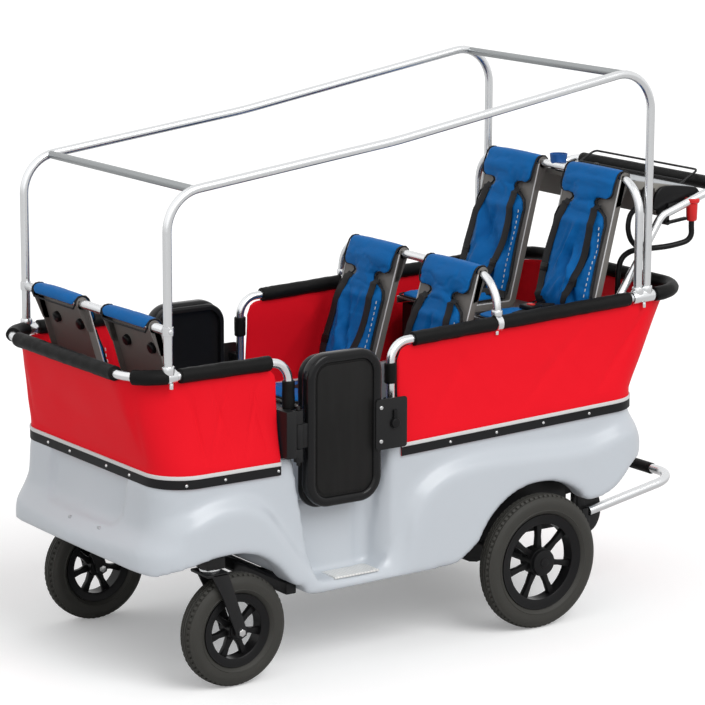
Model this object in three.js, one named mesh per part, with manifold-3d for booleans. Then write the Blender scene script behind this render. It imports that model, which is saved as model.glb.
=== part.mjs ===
// A six-seat electric wagon for small children, pushed from behind.
// Millimetres, +Z up, +X towards the push handle, -Y the vehicle's left side.
// The inner group has its zero under the rear axle; the outer one centres the box.
import * as THREE from 'three';
import { mergeVertices } from 'three/addons/utils/BufferGeometryUtils.js';
import Module from 'manifold-3d';

const wasm = await Module();
wasm.setup();

// General fits
const gap = 0.3;
const overrun = 40;
const weldDistance = 0.001;
const fitShare = 1.03;
const left = -1;
const right = 1;
const quarter = Math.PI / 2;

// Facet counts
const tubeSides = 10;
const roundSides = 16;
const wheelSides = 28;
const bendSteps = 5;
const wireSides = 6;
const wireBendSteps = 2;
const cableSides = 8;
const cableSteps = 20;

// Wheels
const rearWheelRadius = 178;
const rearTyreWidth = 54;
const rearBeadRadius = 126;
const rearOpeningRadius = 101;
const rearHubRadius = 37;
const rearTrackHalf = 374;
const frontWheelRadius = 142;
const frontTyreWidth = 58;
const frontBeadRadius = 92;
const frontOpeningRadius = 71;
const frontHubRadius = 24;
const frontTrackHalf = 337;
const spokeCount = 7;
const spokeWidth = 13;
const spokeDepth = 16;
const rimWidthShare = 0.78;
const rimLipShare = 0.8;
const beadShare = 0.85;
const treadShare = 0.35;
const tyreShoulder = { height: 0.86, width: 0.8 };
const hubCapShare = 0.9;
const hubWidthShare = 0.9;
const rearHubCapLength = 6;

// Casters
const swivelX = -975;
const casterTrail = 64;
const crownTop = 300;
const crownThickness = 8;
const crownWidth = 62;
const forkLegWidth = 30;
const forkLegThickness = 6;
const forkClearance = 6;
const forkFootRadius = 17;
const axleBoltRadius = 6;
const axleHeadRadius = 11;
const axleHeadThickness = 5;
const bearingRadius = 24;

// Chassis
const chassisTube = 30;
const casterBeamDepth = 52;
const casterBeamBottom = 307;
const casterBeamHalf = 366;
const stepBeamX = -745;
const stepBeamBottom = 203;
const stepBeamHalf = 345;
const sideMemberHalf = 200;
const linkHalf = 90;
const sideMemberRear = 265;
const bodyPostHalf = 225;
const bodyPostWidth = 26;
const seatBoxPlate = 6;

// Drive
const axleHeight = rearWheelRadius;
const driveRadius = 66;
const driveHalf = 115;
const driveFlangeRadius = 82;
const driveFlangeHalf = 22;
const halfShaftRadius = 15;
const hubFlangeRadius = 31;
const hubFlangeThickness = 8;
const hangerWidth = 26;

// Moulded body
const bodyTopHalf = 362;
const bodyBulge = 26;
const bodyFront = -1110;
const bodyRear = 350;
const bodyCorner = 98;
const noseReach = 45;
const noseCrown = 34;
const noseMiddle = 345;
const tailReach = 40;
const tailMiddle = 440;
const tailStart = 541;
const bodyTopFront = 556;
const bodyTopRear = 586;
const bodySkirt = 180;
const bodyLevelShares = [0, 0.1, 0.2, 0.3, 0.4, 0.5, 0.58, 0.66, 0.73, 0.79, 0.84, 0.89, 1];
const shoulderSoft = 34;
const sillHeight = 203;
const sillRearHeight = 211;
const noseHeight = 306;
const noseRound = 26;
const archPeakX = -945;
const archPeak = 342;
const frontArchDrop = 122;
const frontArchReach = 205;
const frontSillX = -683;
const rearSillX = -275;
const rearArchRadius = 211;
const lobeBottom = 316;
const lobeX = 168;
const tailX = 300;
const tailEdge = 385;
const tailTop = 425;
const wallHalf = 338;
const wallThickness = 24;
const wallCorner = 78;
const footwellHalf = 296;
const frontBenchTop = 514.6;
const footwellFloor = 246;
const middleBenchTop = 544.6;
const rearFloor = 402;
const floorSkin = 10;
const frontBenchRear = -735;
const middleBenchFront = -440;
const middleBenchRear = -206;
const pocketHalf = 326;
const pocketInset = 30;

// Door recess and step
const recessDepthHalf = 312;
const recessFrontTop = -752;
const recessFrontBottom = -694;
const recessRearTop = -464;
const recessRearBottom = -500;
const recessFloor = 236;
const recessRound = 26;
const threshold = 430;
const treadFront = -634;
const treadRear = -512;
const treadInner = 318;
const treadOuter = 366;
const treadThickness = 3;

// Rails and their pads
const tubeRadius = 11;
const railHalf = 346;
const frontRailHeight = 792;
const frontRailX = -1175;
const railCorner = 105;
const doorBend = 50;
const hingePostX = -754;
const rimSeat = 1;
const rearRailHeight = 804;
const rearRailRise = 34;
const rearRailX = 515;
const latchPostX = -451;
const padRadius = 18.5;
const frontPadHalf = 240;
const frontSidePadStart = -1062;
const frontSidePadEnd = -808;
const rearSidePadStart = -384;
const rearSidePadEnd = 312;
const rearEndPadStart = 398;

// Fabric side panels
const panelThickness = 3;
const panelOffset = 0.8;
const stripLift = 3;
const stripExtra = 2;
const frontPanelBottom = 516;
const frontPanelDoorX = -790;
const rearPanelBottom = 514;
const rearPanelRise = 26;
const rearPanelDoorX = -430;
const panelTopDrop = 19;
const panelTopInset = 4;
const panelTopCorner = 150;
const panelSideShares = [0, 0.06, 0.5];
const panelRows = 3;
const panelPull = 6;

// Canopy frame
const frontPostX = -1093;
const rearPostX = 371;
const canopyFrontHeight = 1224;
const canopyMidX = -440;
const canopyMidHeight = 1303;
const canopyRearHeight = 1438;
const canopyBend = 98;
const canopySag = 1500;
const crossbarRadius = 10;
const frontCrossbarX = -1018;
const rearCrossbarX = 301;
const clampWidth = 36;
const frontClampX = -1088;
const frontClampInset = 3;
const clampRise = 9;
const clampDrop = 6;
const frontClampLength = 34;
const rearClampLength = 70;
const stubRadius = 5;
const stubLength = 12;
const stubOut = 9;

// Seats
const seatSpacing = 172;
const seatWidth = 228;
const seatDepth = 215;
const seatLean = 16 * Math.PI / 180;
const rearSeatLean = 14 * Math.PI / 180;
const frontBarX = -1093;
const frontBarHeight = 903;
const middleHoopX = -121;
const middleHoopHeight = 933;
const rearHoopX = 341;
const rearHoopHeight = 1137;
const rearSeatDrop = 370;
const hoopBend = 85;
const shellThickness = 4;
const flangeThickness = 4;
const shellRim = 18;
const benchClearance = 0.4;
const earRadius = 16;
const collarRadius = 17;
const collarHalf = 13;
const saddleThickness = 6;
const saddleLength = 34;
const saddleWidth = 30;
const padThickness = 19;
const cushionWidth = 176;
const neckWidth = 96;
const neckEnd = 88;
const neckShare = 0.6;
const bellyShares = [0.1, 0.45, 0.85];
const foldShare = 0.6;
const seatShares = [0.2, 0.55, 0.9];
const headrestWidth = 219;
const headrestHeight = 56;
const headrestThickness = 11;
const headrestRound = 8;
const rollRadius = 14;
const cushionCrown = 6;
const cushionPullIn = 9;
const cushionSteps = 6;

// Seat box with the battery and the controller
const seatBoxFront = 34;
const seatBoxRear = 322;
const seatBoxHalf = 280;
const seatBoxWall = 4;

// Console, handle and cable
const consoleHalf = 288;
const consoleFront = 376;
const consoleFrontTop = 1128;
const consoleRear = 592;
const consoleRearTop = 1092;
const consoleRearDepth = 22;
const consoleDeepX = 462;
const consoleDeepDrop = 78;
const consoleFrontDepth = 26;
const consoleStepX = 448;
const consoleLugFront = 480;
const consoleLugRear = 530;
const consoleLugHalf = 9;
const tongueHalf = 34;
const galleryHalf = 219;
const galleryFootX = 582;
const galleryTopX = 650;
const galleryTop = 1127;
const galleryRadius = 3;
const galleryBend = 14;
const handleHalf = 310;
const handleFootX = 168;
const handleFootZ = 620;
const handleElbowX = 446;
const handleElbowZ = 1032;
const handleElbowBend = 50;
const handleRearX = 650;
const handleRearZ = 1097;
const handleCornerBend = 34;
const handleLugDrop = 60;
const handleLugWidth = 26;
const gripHalf = 272;
const capLength = 50;
const capRadius = 14;
const capTaperShare = 0.8;
const capX = 552;
const cableRadius = 8;
const leverPivotX = 462;
const leverLength = 70;
const leverDrop = 22;
const leverTilt = 12 * Math.PI / 180;
const leverThickness = 7;
const leverWidth = 12;
const leverPinRadius = 4;
const leverEyeRadius = 8;
const leverEarThickness = 4;

// Rear bumper
const bumperHalf = 250;
const bumperFootX = 269;
const bumperFootZ = 234;
const bracketFront = 233;
const bracketRear = 312;
const bracketBottom = 196;
const bracketTop = 288;
const bracketThickness = 4;
const bumperRearX = 574;
const bumperRearZ = 295;
const bumperRadius = 12.5;
const bumperBend = 70;

// Doors
const doorPlane = 376;
const doorOuter = 389;
const doorInner = 352;
const doorInnerRecess = 8;
const doorInnerLow = 600;
const doorFront = -724;
const doorRear = -503;
const doorBottom = 421;
const doorTop = 806;
const doorCorner = 62;
const doorRim = 26;
const doorRecess = 7;
const hingeX = -745;
const hingePinRadius = 5;
const hingePinBottom = 482;
const hingePinTop = 684;
const knuckleRadius = 12;
const hingeBottom = 545;
const hingeTop = 675;
const hingeOuterKnuckle = 34;
const hingeBlockFront = -786;
const hingeBlockWidth = 46;
const hingeBlockDepth = 34;
const latchPlateFront = -527;
const latchPlateRear = -433;
const latchPlateBottom = 546;
const latchPlateTop = 674;
const latchPlateThickness = 5;
const latchPlateRound = 6;
const plateRoundSteps = 2;
const keeperWidth = 26;
const latchX = -472;
const latchZ = 611;
const latchKnobRadius = 14;
const latchKnobLength = 10;
const latchArmLength = 34;
const latchArmWidth = 12;
const latchArmThickness = 7;
const screwRadius = 6;
const screwHead = 3;
const screwX = -512;
const screwUpper = 653;
const screwLower = 568;

// Colours of the real finishes
const finishes = {
  moulding: { color: 0xb9bfc5, roughness: 0.45, metalness: 0 },
  aluminium: { color: 0xd4d6d8, roughness: 0.3, metalness: 0.9 },
  steel: { color: 0x9a9ea3, roughness: 0.4, metalness: 0.9 },
  blackMetal: { color: 0x2a2a2c, roughness: 0.5, metalness: 0.3 },
  blackPlastic: { color: 0x26262a, roughness: 0.42, metalness: 0 },
  foam: { color: 0x1f1f21, roughness: 0.85, metalness: 0 },
  vinyl: { color: 0xdd1626, roughness: 0.4, metalness: 0 },
  shell: { color: 0x77736e, roughness: 0.5, metalness: 0 },
  cloth: { color: 0x1559a8, roughness: 0.85, metalness: 0 },
  rubber: { color: 0x2f2d2b, roughness: 0.9, metalness: 0 },
  tray: { color: 0xc4c7ca, roughness: 0.5, metalness: 0 },
};

const wagon = new THREE.Group();

// Adds one named piece with its finish.
function add(name, geometry, finish) {
  const mesh = new THREE.Mesh(geometry, new THREE.MeshStandardMaterial(finishes[finish]));
  mesh.name = name;
  wagon.add(mesh);
  return mesh;
}

// Turns a closed geometry into a solid that can be joined and cut.
function solid(geometry) {
  const bare = geometry.index ? geometry.toNonIndexed() : geometry.clone();
  bare.deleteAttribute('normal');
  bare.deleteAttribute('uv');
  const merged = mergeVertices(bare, weldDistance);
  return new wasm.Manifold(new wasm.Mesh({
    numProp: 3,
    vertProperties: new Float32Array(merged.attributes.position.array),
    triVerts: new Uint32Array(merged.index.array),
  }));
}

// Turns a solid back into a geometry.
function geometryOf(body) {
  const mesh = body.getMesh();
  const geometry = new THREE.BufferGeometry();
  geometry.setAttribute('position', new THREE.BufferAttribute(mesh.vertProperties, mesh.numProp));
  geometry.setIndex(new THREE.BufferAttribute(mesh.triVerts, 1));
  return geometry;
}

function joinAll(geometries) {
  return geometries.map(solid).reduce((sum, next) => sum.add(next));
}

function cutAll(body, geometries) {
  return geometries.map(solid).reduce((rest, next) => rest.subtract(next), body);
}

// A block between two corners.
function block(x0, x1, y0, y1, z0, z1) {
  const geometry = new THREE.BoxGeometry(Math.abs(x1 - x0), Math.abs(y1 - y0), Math.abs(z1 - z0));
  return geometry.translate((x0 + x1) / 2, (y0 + y1) / 2, (z0 + z1) / 2);
}

// A block on one side of the vehicle, between two distances from its middle plane.
function sideBlock(side, x0, x1, inner, outer, z0, z1) {
  return block(x0, x1, side * inner, side * outer, z0, z1);
}

function rodY(radius, y0, y1, x, z, sides = roundSides) {
  const geometry = new THREE.CylinderGeometry(radius, radius, Math.abs(y1 - y0), sides);
  return geometry.translate(x, (y0 + y1) / 2, z);
}

function rodZ(radius, z0, z1, x, y, sides = roundSides) {
  const geometry = new THREE.CylinderGeometry(radius, radius, z1 - z0, sides);
  return geometry.rotateX(quarter).translate(x, y, (z0 + z1) / 2);
}

// A tube's route: straight runs joined by bends, with a ring only where it is needed.
class BentPath extends THREE.Curve {
  constructor(corners, bends, steps = bendSteps) {
    super();
    this.points = [corners[0].clone()];
    this.tangents = [corners[1].clone().sub(corners[0]).normalize()];
    for (let i = 1; i < corners.length - 1; i += 1) {
      this.addBend(corners[i - 1], corners[i], corners[i + 1], bends[i - 1], steps);
    }
    const last = corners[corners.length - 1];
    this.points.push(last.clone());
    this.tangents.push(last.clone().sub(corners[corners.length - 2]).normalize());
  }

  addBend(before, corner, after, radius, steps) {
    const into = corner.clone().sub(before).normalize();
    const out = after.clone().sub(corner).normalize();
    const turn = into.angleTo(out);
    const setback = radius * Math.tan(turn / 2);
    const start = corner.clone().addScaledVector(into, -setback);
    const inward = out.clone().addScaledVector(into, -out.dot(into)).normalize();
    const centre = start.clone().addScaledVector(inward, radius);
    for (let k = 0; k <= steps; k += 1) {
      const angle = turn * k / steps;
      const point = centre.clone().addScaledVector(inward, -radius * Math.cos(angle));
      this.points.push(point.addScaledVector(into, radius * Math.sin(angle)));
      const tangent = into.clone().multiplyScalar(Math.cos(angle));
      this.tangents.push(tangent.addScaledVector(inward, Math.sin(angle)).normalize());
    }
  }

  get rings() {
    return this.points.length - 1;
  }

  getUtoTmapping(u) {
    return u;
  }

  getPoint(t) {
    return this.points[Math.round(t * this.rings)].clone();
  }

  getTangent(t) {
    return this.tangents[Math.round(t * this.rings)].clone();
  }
}

function circleShape(radius, sides, bore = 0) {
  const ring = (r) => Array.from({ length: sides }, (_, i) => {
    const angle = 2 * Math.PI * i / sides;
    return new THREE.Vector2(r * Math.cos(angle), r * Math.sin(angle));
  });
  const shape = new THREE.Shape(ring(radius));
  if (bore > 0) {
    shape.holes.push(new THREE.Path(ring(bore).reverse()));
  }
  return shape;
}

// A round tube along corners with bend radii; a bore makes it a sleeve.
function tube(corners, bends, radius, { bore = 0, sides = tubeSides, steps = bendSteps } = {}) {
  const path = new BentPath(corners, bends, steps);
  return new THREE.ExtrudeGeometry(circleShape(radius, sides, bore), {
    extrudePath: path,
    steps: path.rings,
  });
}

function at(x, y, z) {
  return new THREE.Vector3(x, y, z);
}

// Extrudes an outline drawn in X and Z across the vehicle, from y0 to y1.
function acrossY(shape, y0, y1, curveSegments = bendSteps) {
  const depth = Math.abs(y1 - y0);
  const geometry = new THREE.ExtrudeGeometry(shape, { depth, bevelEnabled: false, curveSegments });
  return geometry.rotateX(quarter).translate(0, Math.max(y0, y1), 0);
}

function outline(points) {
  return new THREE.Shape(points.map(([x, y]) => new THREE.Vector2(x, y)));
}

// A rectangle with round corners.
function roundedRect(x0, x1, y0, y1, radius) {
  const shape = new THREE.Shape();
  shape.moveTo(x0 + radius, y0);
  shape.lineTo(x1 - radius, y0);
  shape.absarc(x1 - radius, y0 + radius, radius, -quarter, 0, false);
  shape.lineTo(x1, y1 - radius);
  shape.absarc(x1 - radius, y1 - radius, radius, 0, quarter, false);
  shape.lineTo(x0 + radius, y1);
  shape.absarc(x0 + radius, y1 - radius, radius, quarter, Math.PI, false);
  shape.lineTo(x0, y0 + radius);
  shape.absarc(x0 + radius, y0 + radius, radius, Math.PI, Math.PI + quarter, false);
  return shape;
}

// Joins rings of equal length into a closed solid with fans at both ends.
function loft(rings) {
  const positions = [];
  const count = rings[0].length;
  const put = (a, b, c) => positions.push(...a.toArray(), ...b.toArray(), ...c.toArray());
  for (let r = 0; r < rings.length - 1; r += 1) {
    for (let i = 0; i < count; i += 1) {
      const j = (i + 1) % count;
      put(rings[r][i], rings[r][j], rings[r + 1][j]);
      put(rings[r][i], rings[r + 1][j], rings[r + 1][i]);
    }
  }
  const middle = (ring) => ring.reduce((sum, p) => sum.add(p), at(0, 0, 0)).divideScalar(count);
  const first = rings[0];
  const last = rings[rings.length - 1];
  const firstMiddle = middle(first);
  const lastMiddle = middle(last);
  for (let i = 0; i < count; i += 1) {
    const j = (i + 1) % count;
    put(first[j], first[i], firstMiddle);
    put(last[i], last[j], lastMiddle);
  }
  return facingOut(positions);
}

// Makes a geometry of loose triangles and turns them all if they enclose their space inside out.
function facingOut(positions) {
  const corner = (i) => at(positions[i], positions[i + 1], positions[i + 2]);
  let volume = 0;
  const stride = 9;
  for (let i = 0; i < positions.length; i += stride) {
    volume += corner(i).dot(corner(i + 3).cross(corner(i + 6)));
  }
  if (volume < 0) {
    for (let i = 0; i < positions.length; i += stride) {
      const swapped = positions.slice(i, i + 3);
      positions.splice(i, 3, ...positions.slice(i + 3, i + 6));
      positions.splice(i + 3, 3, ...swapped);
    }
  }
  const geometry = new THREE.BufferGeometry();
  geometry.setAttribute('position', new THREE.Float32BufferAttribute(positions, 3));
  return geometry;
}

function smooth(value) {
  const t = Math.min(1, Math.max(0, value));
  return t * t * (3 - 2 * t);
}

function mix(a, b, share) {
  return a + (b - a) * share;
}

// Height of the rear rail's centre line at a place along the vehicle.
function rearRailAt(x) {
  return rearRailHeight + rearRailRise * (x - rearSidePadStart) / (rearRailX - rearSidePadStart);
}

// Moulded body

// Half of the plan outline, from the middle of the nose to the middle of the tail.
const sideStationShares = [0, 0.04, 0.08, 0.12, 0.155, 0.19, 0.22, 0.3, 0.38, 0.43, 0.445, 0.46, 0.48,
  0.51, 0.54, 0.6, 0.68, 0.76, 0.84, 0.92, 1];
const noseStationShares = [0, 0.35, 0.7];
const cornerSteps = 5;

function planStations() {
  const inset = bodyTopHalf - bodyCorner;
  const stations = noseStationShares.map((share) => ({ x: bodyFront, y: inset * share, nx: -1, ny: 0 }));
  for (let k = 0; k <= cornerSteps; k += 1) {
    const angle = quarter * k / cornerSteps;
    const nx = -Math.cos(angle);
    const ny = Math.sin(angle);
    stations.push({ x: bodyFront + bodyCorner * (1 + nx), y: inset + bodyCorner * ny, nx, ny });
  }
  const sideStart = bodyFront + bodyCorner;
  const sideEnd = bodyRear - bodyCorner;
  for (const share of sideStationShares.slice(1, -1)) {
    stations.push({ x: mix(sideStart, sideEnd, share), y: bodyTopHalf, nx: 0, ny: 1 });
  }
  for (let k = 0; k <= cornerSteps; k += 1) {
    const angle = quarter * k / cornerSteps;
    const nx = Math.sin(angle);
    const ny = Math.cos(angle);
    stations.push({ x: sideEnd + bodyCorner * nx, y: inset + bodyCorner * ny, nx, ny });
  }
  stations.push({ x: bodyRear, y: 0, nx: 1, ny: 0 });
  return stations;
}

// Height of the shoulder line, which the fender bulge starts below.
const shoulderNose = 408;
const shoulderFrontPeak = 448;
const shoulderDoor = 250;
const shoulderRear = 502;
const shoulderTail = 526;
const shoulderFall = -905;
const shoulderDoorStart = -735;
const shoulderFallShare = 1.6;
const shoulderRiseShare = 0.55;
const shoulderRearStart = -330;
const shoulderTailStart = 200;

function shoulderAt(x) {
  if (x < archPeakX) {
    return mix(shoulderNose, shoulderFrontPeak, smooth((x - bodyFront) / (archPeakX - bodyFront)));
  }
  if (x < shoulderDoorStart) {
    const share = Math.max(0, x - shoulderFall) / (shoulderDoorStart - shoulderFall);
    return mix(shoulderFrontPeak, shoulderDoor, share ** shoulderFallShare);
  }
  if (x < recessRearTop) {
    return shoulderDoor;
  }
  if (x < shoulderRearStart) {
    const share = (x - recessRearTop) / (shoulderRearStart - recessRearTop);
    return mix(shoulderDoor, shoulderRear, Math.sin(quarter * share ** shoulderRiseShare));
  }
  return mix(shoulderRear, shoulderTail, smooth((x - shoulderTailStart) / (bodyRear - shoulderTailStart)));
}

function bodyTopAt(x) {
  return mix(bodyTopFront, bodyTopRear, smooth((x - recessRearTop) / (bodyRear - recessRearTop)));
}

// How far the skin stands out of the top outline at a station and a height.
function skinReach(station, z) {
  const below = smooth((shoulderAt(station.x) + shoulderSoft / 2 - z) / (2 * shoulderSoft));
  const side = bodyBulge * below;
  const noseShare = smooth((bodyTopFront - shoulderSoft - z) / (bodyTopFront - shoulderSoft - noseMiddle));
  const nose = (noseReach + noseCrown * (1 - station.y / bodyTopHalf)) * noseShare;
  const tail = tailReach * smooth((tailStart - z) / (tailStart - tailMiddle));
  const front = Math.max(0, -station.nx);
  const back = Math.max(0, station.nx);
  return nose * front * front + tail * back * back + side * station.ny * station.ny;
}

function bodyRing(level) {
  const half = planStations();
  const place = (station, mirror) => {
    const top = bodyTopAt(station.x);
    const z = mix(bodySkirt, top, level);
    const reach = skinReach(station, z);
    return at(station.x + station.nx * reach, mirror * (station.y + station.ny * reach), z);
  };
  const rightHalf = half.map((station) => place(station, right));
  const leftHalf = half.slice(1, -1).map((station) => place(station, left)).reverse();
  return [...rightHalf, ...leftHalf].reverse();
}

// How far along a curve of the side view its control points lie.
const noseCurveShares = [0.4, 0.7];
const archCurveShares = [0.6, 0.7];
const archCurveDropShare = 0.55;
const lobeCurveShares = [0.5, 0.6];
const tailCurveShares = [0.4, 0.7];

// Side view of what stays of the body: nose, arches, sill and tail.
function bodySilhouette() {
  const high = bodyTopRear + overrun;
  const nose = bodyFront - noseReach - noseCrown - overrun;
  const tail = bodyRear + tailReach + overrun;
  const shape = new THREE.Shape();
  shape.moveTo(nose, high);
  shape.lineTo(nose, noseHeight + noseRound);
  shape.lineTo(bodyFront - noseReach - noseCrown, noseHeight + noseRound);
  shape.quadraticCurveTo(bodyFront - noseReach, noseHeight, bodyFront - noseReach + noseRound, noseHeight);
  shape.bezierCurveTo(mix(bodyFront, archPeakX, noseCurveShares[0]), noseHeight + noseRound,
    mix(bodyFront, archPeakX, noseCurveShares[1]), archPeak, archPeakX, archPeak);
  const archEnd = archPeakX + frontArchReach;
  shape.bezierCurveTo(mix(archPeakX, archEnd, archCurveShares[0]), archPeak,
    mix(archPeakX, archEnd, archCurveShares[1]), archPeak - frontArchDrop * archCurveDropShare,
    archEnd, archPeak - frontArchDrop);
  shape.quadraticCurveTo(archEnd + noseRound, sillHeight, frontSillX, sillHeight);
  shape.lineTo(rearSillX, sillRearHeight);
  const sillAngle = Math.PI - Math.asin((sillRearHeight + noseRound * 2 - axleHeight) / rearArchRadius);
  shape.quadraticCurveTo(-rearArchRadius - noseRound, sillRearHeight + noseRound / 2,
    rearArchRadius * Math.cos(sillAngle), axleHeight + rearArchRadius * Math.sin(sillAngle));
  const lobeAngle = Math.asin((lobeBottom + noseRound - axleHeight) / rearArchRadius);
  shape.absarc(0, axleHeight, rearArchRadius, sillAngle, lobeAngle, true);
  shape.quadraticCurveTo(mix(rearArchRadius * Math.cos(lobeAngle), lobeX, lobeCurveShares[0]), lobeBottom,
    lobeX, lobeBottom);
  shape.quadraticCurveTo(mix(lobeX, tailX, lobeCurveShares[1]), lobeBottom, tailX, tailEdge);
  shape.quadraticCurveTo(mix(tailX, tail, tailCurveShares[0]), mix(tailEdge, tailTop, tailCurveShares[1]),
    tail, tailTop);
  shape.lineTo(tail, high);
  return shape;
}

// The stepped floor's upper side, from the nose to the tail.
function floorLine(drop, inset) {
  const front = bodyFront - noseReach - noseCrown;
  return [
    [front, frontBenchTop - drop],
    [frontBenchRear - inset, frontBenchTop - drop],
    [frontBenchRear - inset, footwellFloor - drop],
    [middleBenchFront + inset, footwellFloor - drop],
    [middleBenchFront + inset, middleBenchTop - drop],
    [middleBenchRear - inset, middleBenchTop - drop],
    [middleBenchRear - inset, rearFloor - drop],
    [bodyRear + tailReach + overrun, rearFloor - drop],
  ];
}

function cabinCavity() {
  const high = bodyTopRear + overrun;
  const line = floorLine(0, 0);
  const stepped = outline([...line, [line[line.length - 1][0], high], [line[0][0], high]]);
  const plan = roundedRect(bodyFront + wallThickness, bodyRear - wallThickness, -wallHalf, wallHalf,
    wallCorner);
  const settings = { depth: high, bevelEnabled: false, curveSegments: bendSteps };
  const prism = new THREE.ExtrudeGeometry(plan, settings);
  let cavity = solid(acrossY(stepped, -wallHalf - overrun, wallHalf + overrun)).intersect(solid(prism));
  for (const side of [left, right]) {
    const doorWall = sideBlock(side, recessFrontTop - wallThickness, recessRearTop + wallThickness,
      footwellHalf, wallHalf + overrun, 0, high);
    cavity = cavity.subtract(solid(doorWall));
  }
  return cavity;
}

function undersidePocket() {
  const line = floorLine(floorSkin, floorSkin);
  const first = bodyFront + pocketInset;
  const last = bodyRear - pocketInset;
  line[0][0] = first;
  line[line.length - 1][0] = last;
  const stepped = outline([[first, 0], [last, 0], ...line.reverse()]);
  let pocket = solid(acrossY(stepped, -pocketHalf, pocketHalf));
  for (const side of [left, right]) {
    const doorWall = sideBlock(side, recessFrontTop - wallThickness, recessRearTop + wallThickness,
      footwellHalf, pocketHalf + overrun, 0, bodyTopRear);
    pocket = pocket.subtract(solid(doorWall));
  }
  return pocket;
}

function recessShape(bottom) {
  const shape = new THREE.Shape();
  const high = bodyTopRear + overrun;
  const lean = (x0, x1, z) => mix(x1, x0, (z - recessFloor) / (bodyTopFront - recessFloor));
  shape.moveTo(lean(recessFrontTop, recessFrontBottom, high), high);
  shape.lineTo(lean(recessFrontTop, recessFrontBottom, bottom + recessRound), bottom + recessRound);
  shape.quadraticCurveTo(lean(recessFrontTop, recessFrontBottom, bottom), bottom,
    lean(recessFrontTop, recessFrontBottom, bottom) + recessRound, bottom);
  shape.lineTo(lean(recessRearTop, recessRearBottom, bottom) - recessRound, bottom);
  shape.quadraticCurveTo(lean(recessRearTop, recessRearBottom, bottom), bottom,
    lean(recessRearTop, recessRearBottom, bottom + recessRound), bottom + recessRound);
  shape.lineTo(lean(recessRearTop, recessRearBottom, high), high);
  return shape;
}

function mouldedBody() {
  const wide = bodyTopHalf + bodyBulge + overrun;
  let body = solid(loft(bodyLevelShares.map(bodyRing)));
  body = body.intersect(solid(acrossY(bodySilhouette(), -wide, wide)));
  body = body.subtract(cabinCavity()).subtract(undersidePocket());
  for (const side of [left, right]) {
    const recess = acrossY(recessShape(recessFloor), side * recessDepthHalf, side * wide);
    const doorway = acrossY(recessShape(threshold), side * (footwellHalf - overrun), side * wide);
    const seat = sideBlock(side, treadFront - gap, treadRear + gap, treadInner - gap, treadOuter + gap,
      recessFloor - treadThickness, recessFloor + overrun);
    body = cutAll(body, [recess, doorway, seat]);
  }
  const beam = block(stepBeamX - chassisTube / 2 - gap, stepBeamX + chassisTube / 2 + gap, -wide, wide,
    0, stepBeamBottom + chassisTube + gap);
  return geometryOf(cutAll(body, [beam]));
}

add('moulded_body', mouldedBody(), 'moulding');

// Chassis frame

function crossLink(side) {
  const half = chassisTube / 2;
  const shape = outline([
    [swivelX, casterBeamBottom],
    [stepBeamX, stepBeamBottom],
    [stepBeamX, stepBeamBottom + chassisTube],
    [swivelX, casterBeamBottom + chassisTube],
  ]);
  return acrossY(shape, side * linkHalf - half, side * linkHalf + half);
}

function chassisFrame() {
  const half = chassisTube / 2;
  const top = stepBeamBottom + chassisTube;
  const pieces = [
    block(swivelX - casterBeamDepth / 2, swivelX + casterBeamDepth / 2, -casterBeamHalf, casterBeamHalf,
      casterBeamBottom, casterBeamBottom + chassisTube),
    block(stepBeamX - half, stepBeamX + half, -stepBeamHalf, stepBeamHalf, stepBeamBottom, top),
    block(sideMemberRear - chassisTube, sideMemberRear, -bumperHalf - half, bumperHalf + half,
      stepBeamBottom, top),
  ];
  const bracketInner = bumperRadius + gap;
  for (const side of [left, right]) {
    pieces.push(
      crossLink(side),
      sideBlock(side, stepBeamX, sideMemberRear, sideMemberHalf - half, sideMemberHalf + half,
        stepBeamBottom, top),
      rodZ(bearingRadius, crownTop + gap, casterBeamBottom + half, swivelX, side * frontTrackHalf),
      sideBlock(side, sideMemberRear - bodyPostWidth, sideMemberRear, bodyPostHalf - half,
        bodyPostHalf + half, stepBeamBottom, rearFloor - floorSkin - gap),
      sideBlock(side, -hangerWidth / 2, hangerWidth / 2, sideMemberHalf - half, sideMemberHalf + half,
        axleHeight + halfShaftRadius + gap, top),
      sideBlock(side, middleBenchFront + chassisTube, middleBenchFront + 2 * chassisTube,
        sideMemberHalf - half, sideMemberHalf + half, stepBeamBottom, middleBenchTop - floorSkin - gap),
      sideBlock(side, swivelX - half, swivelX + half, linkHalf - half, linkHalf + half,
        casterBeamBottom, frontBenchTop - floorSkin - gap),
      sideBlock(side, bracketFront, bracketRear, bumperHalf + bracketInner,
        bumperHalf + bracketInner + bracketThickness, bracketBottom, bracketTop),
      sideBlock(side, bracketFront, bracketRear, bumperHalf - bracketInner - bracketThickness,
        bumperHalf - bracketInner, bracketBottom, bracketTop),
    );
  }
  return geometryOf(joinAll(pieces));
}

add('chassis_frame', chassisFrame(), 'blackMetal');

// Drive unit on the rear axle

function driveUnit() {
  const pieces = [
    rodY(driveRadius, -driveHalf, driveHalf, 0, axleHeight, roundSides),
    rodY(driveFlangeRadius, -driveFlangeHalf, driveFlangeHalf, 0, axleHeight, roundSides),
    block(0, sideMemberRear / 2, -driveHalf, driveHalf, axleHeight - driveRadius / 2,
      axleHeight + driveRadius / 2),
  ];
  const hubEnd = rearTrackHalf - rearTyreWidth * hubWidthShare / 2 - gap;
  pieces.push(rodY(halfShaftRadius, -hubEnd, hubEnd, 0, axleHeight, tubeSides));
  for (const side of [left, right]) {
    pieces.push(rodY(hubFlangeRadius, side * (hubEnd - hubFlangeThickness), side * hubEnd, 0, axleHeight));
  }
  return geometryOf(joinAll(pieces));
}

add('drive_unit', driveUnit(), 'blackMetal');

// Seat box with the battery and the controller, under the rear seats

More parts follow.
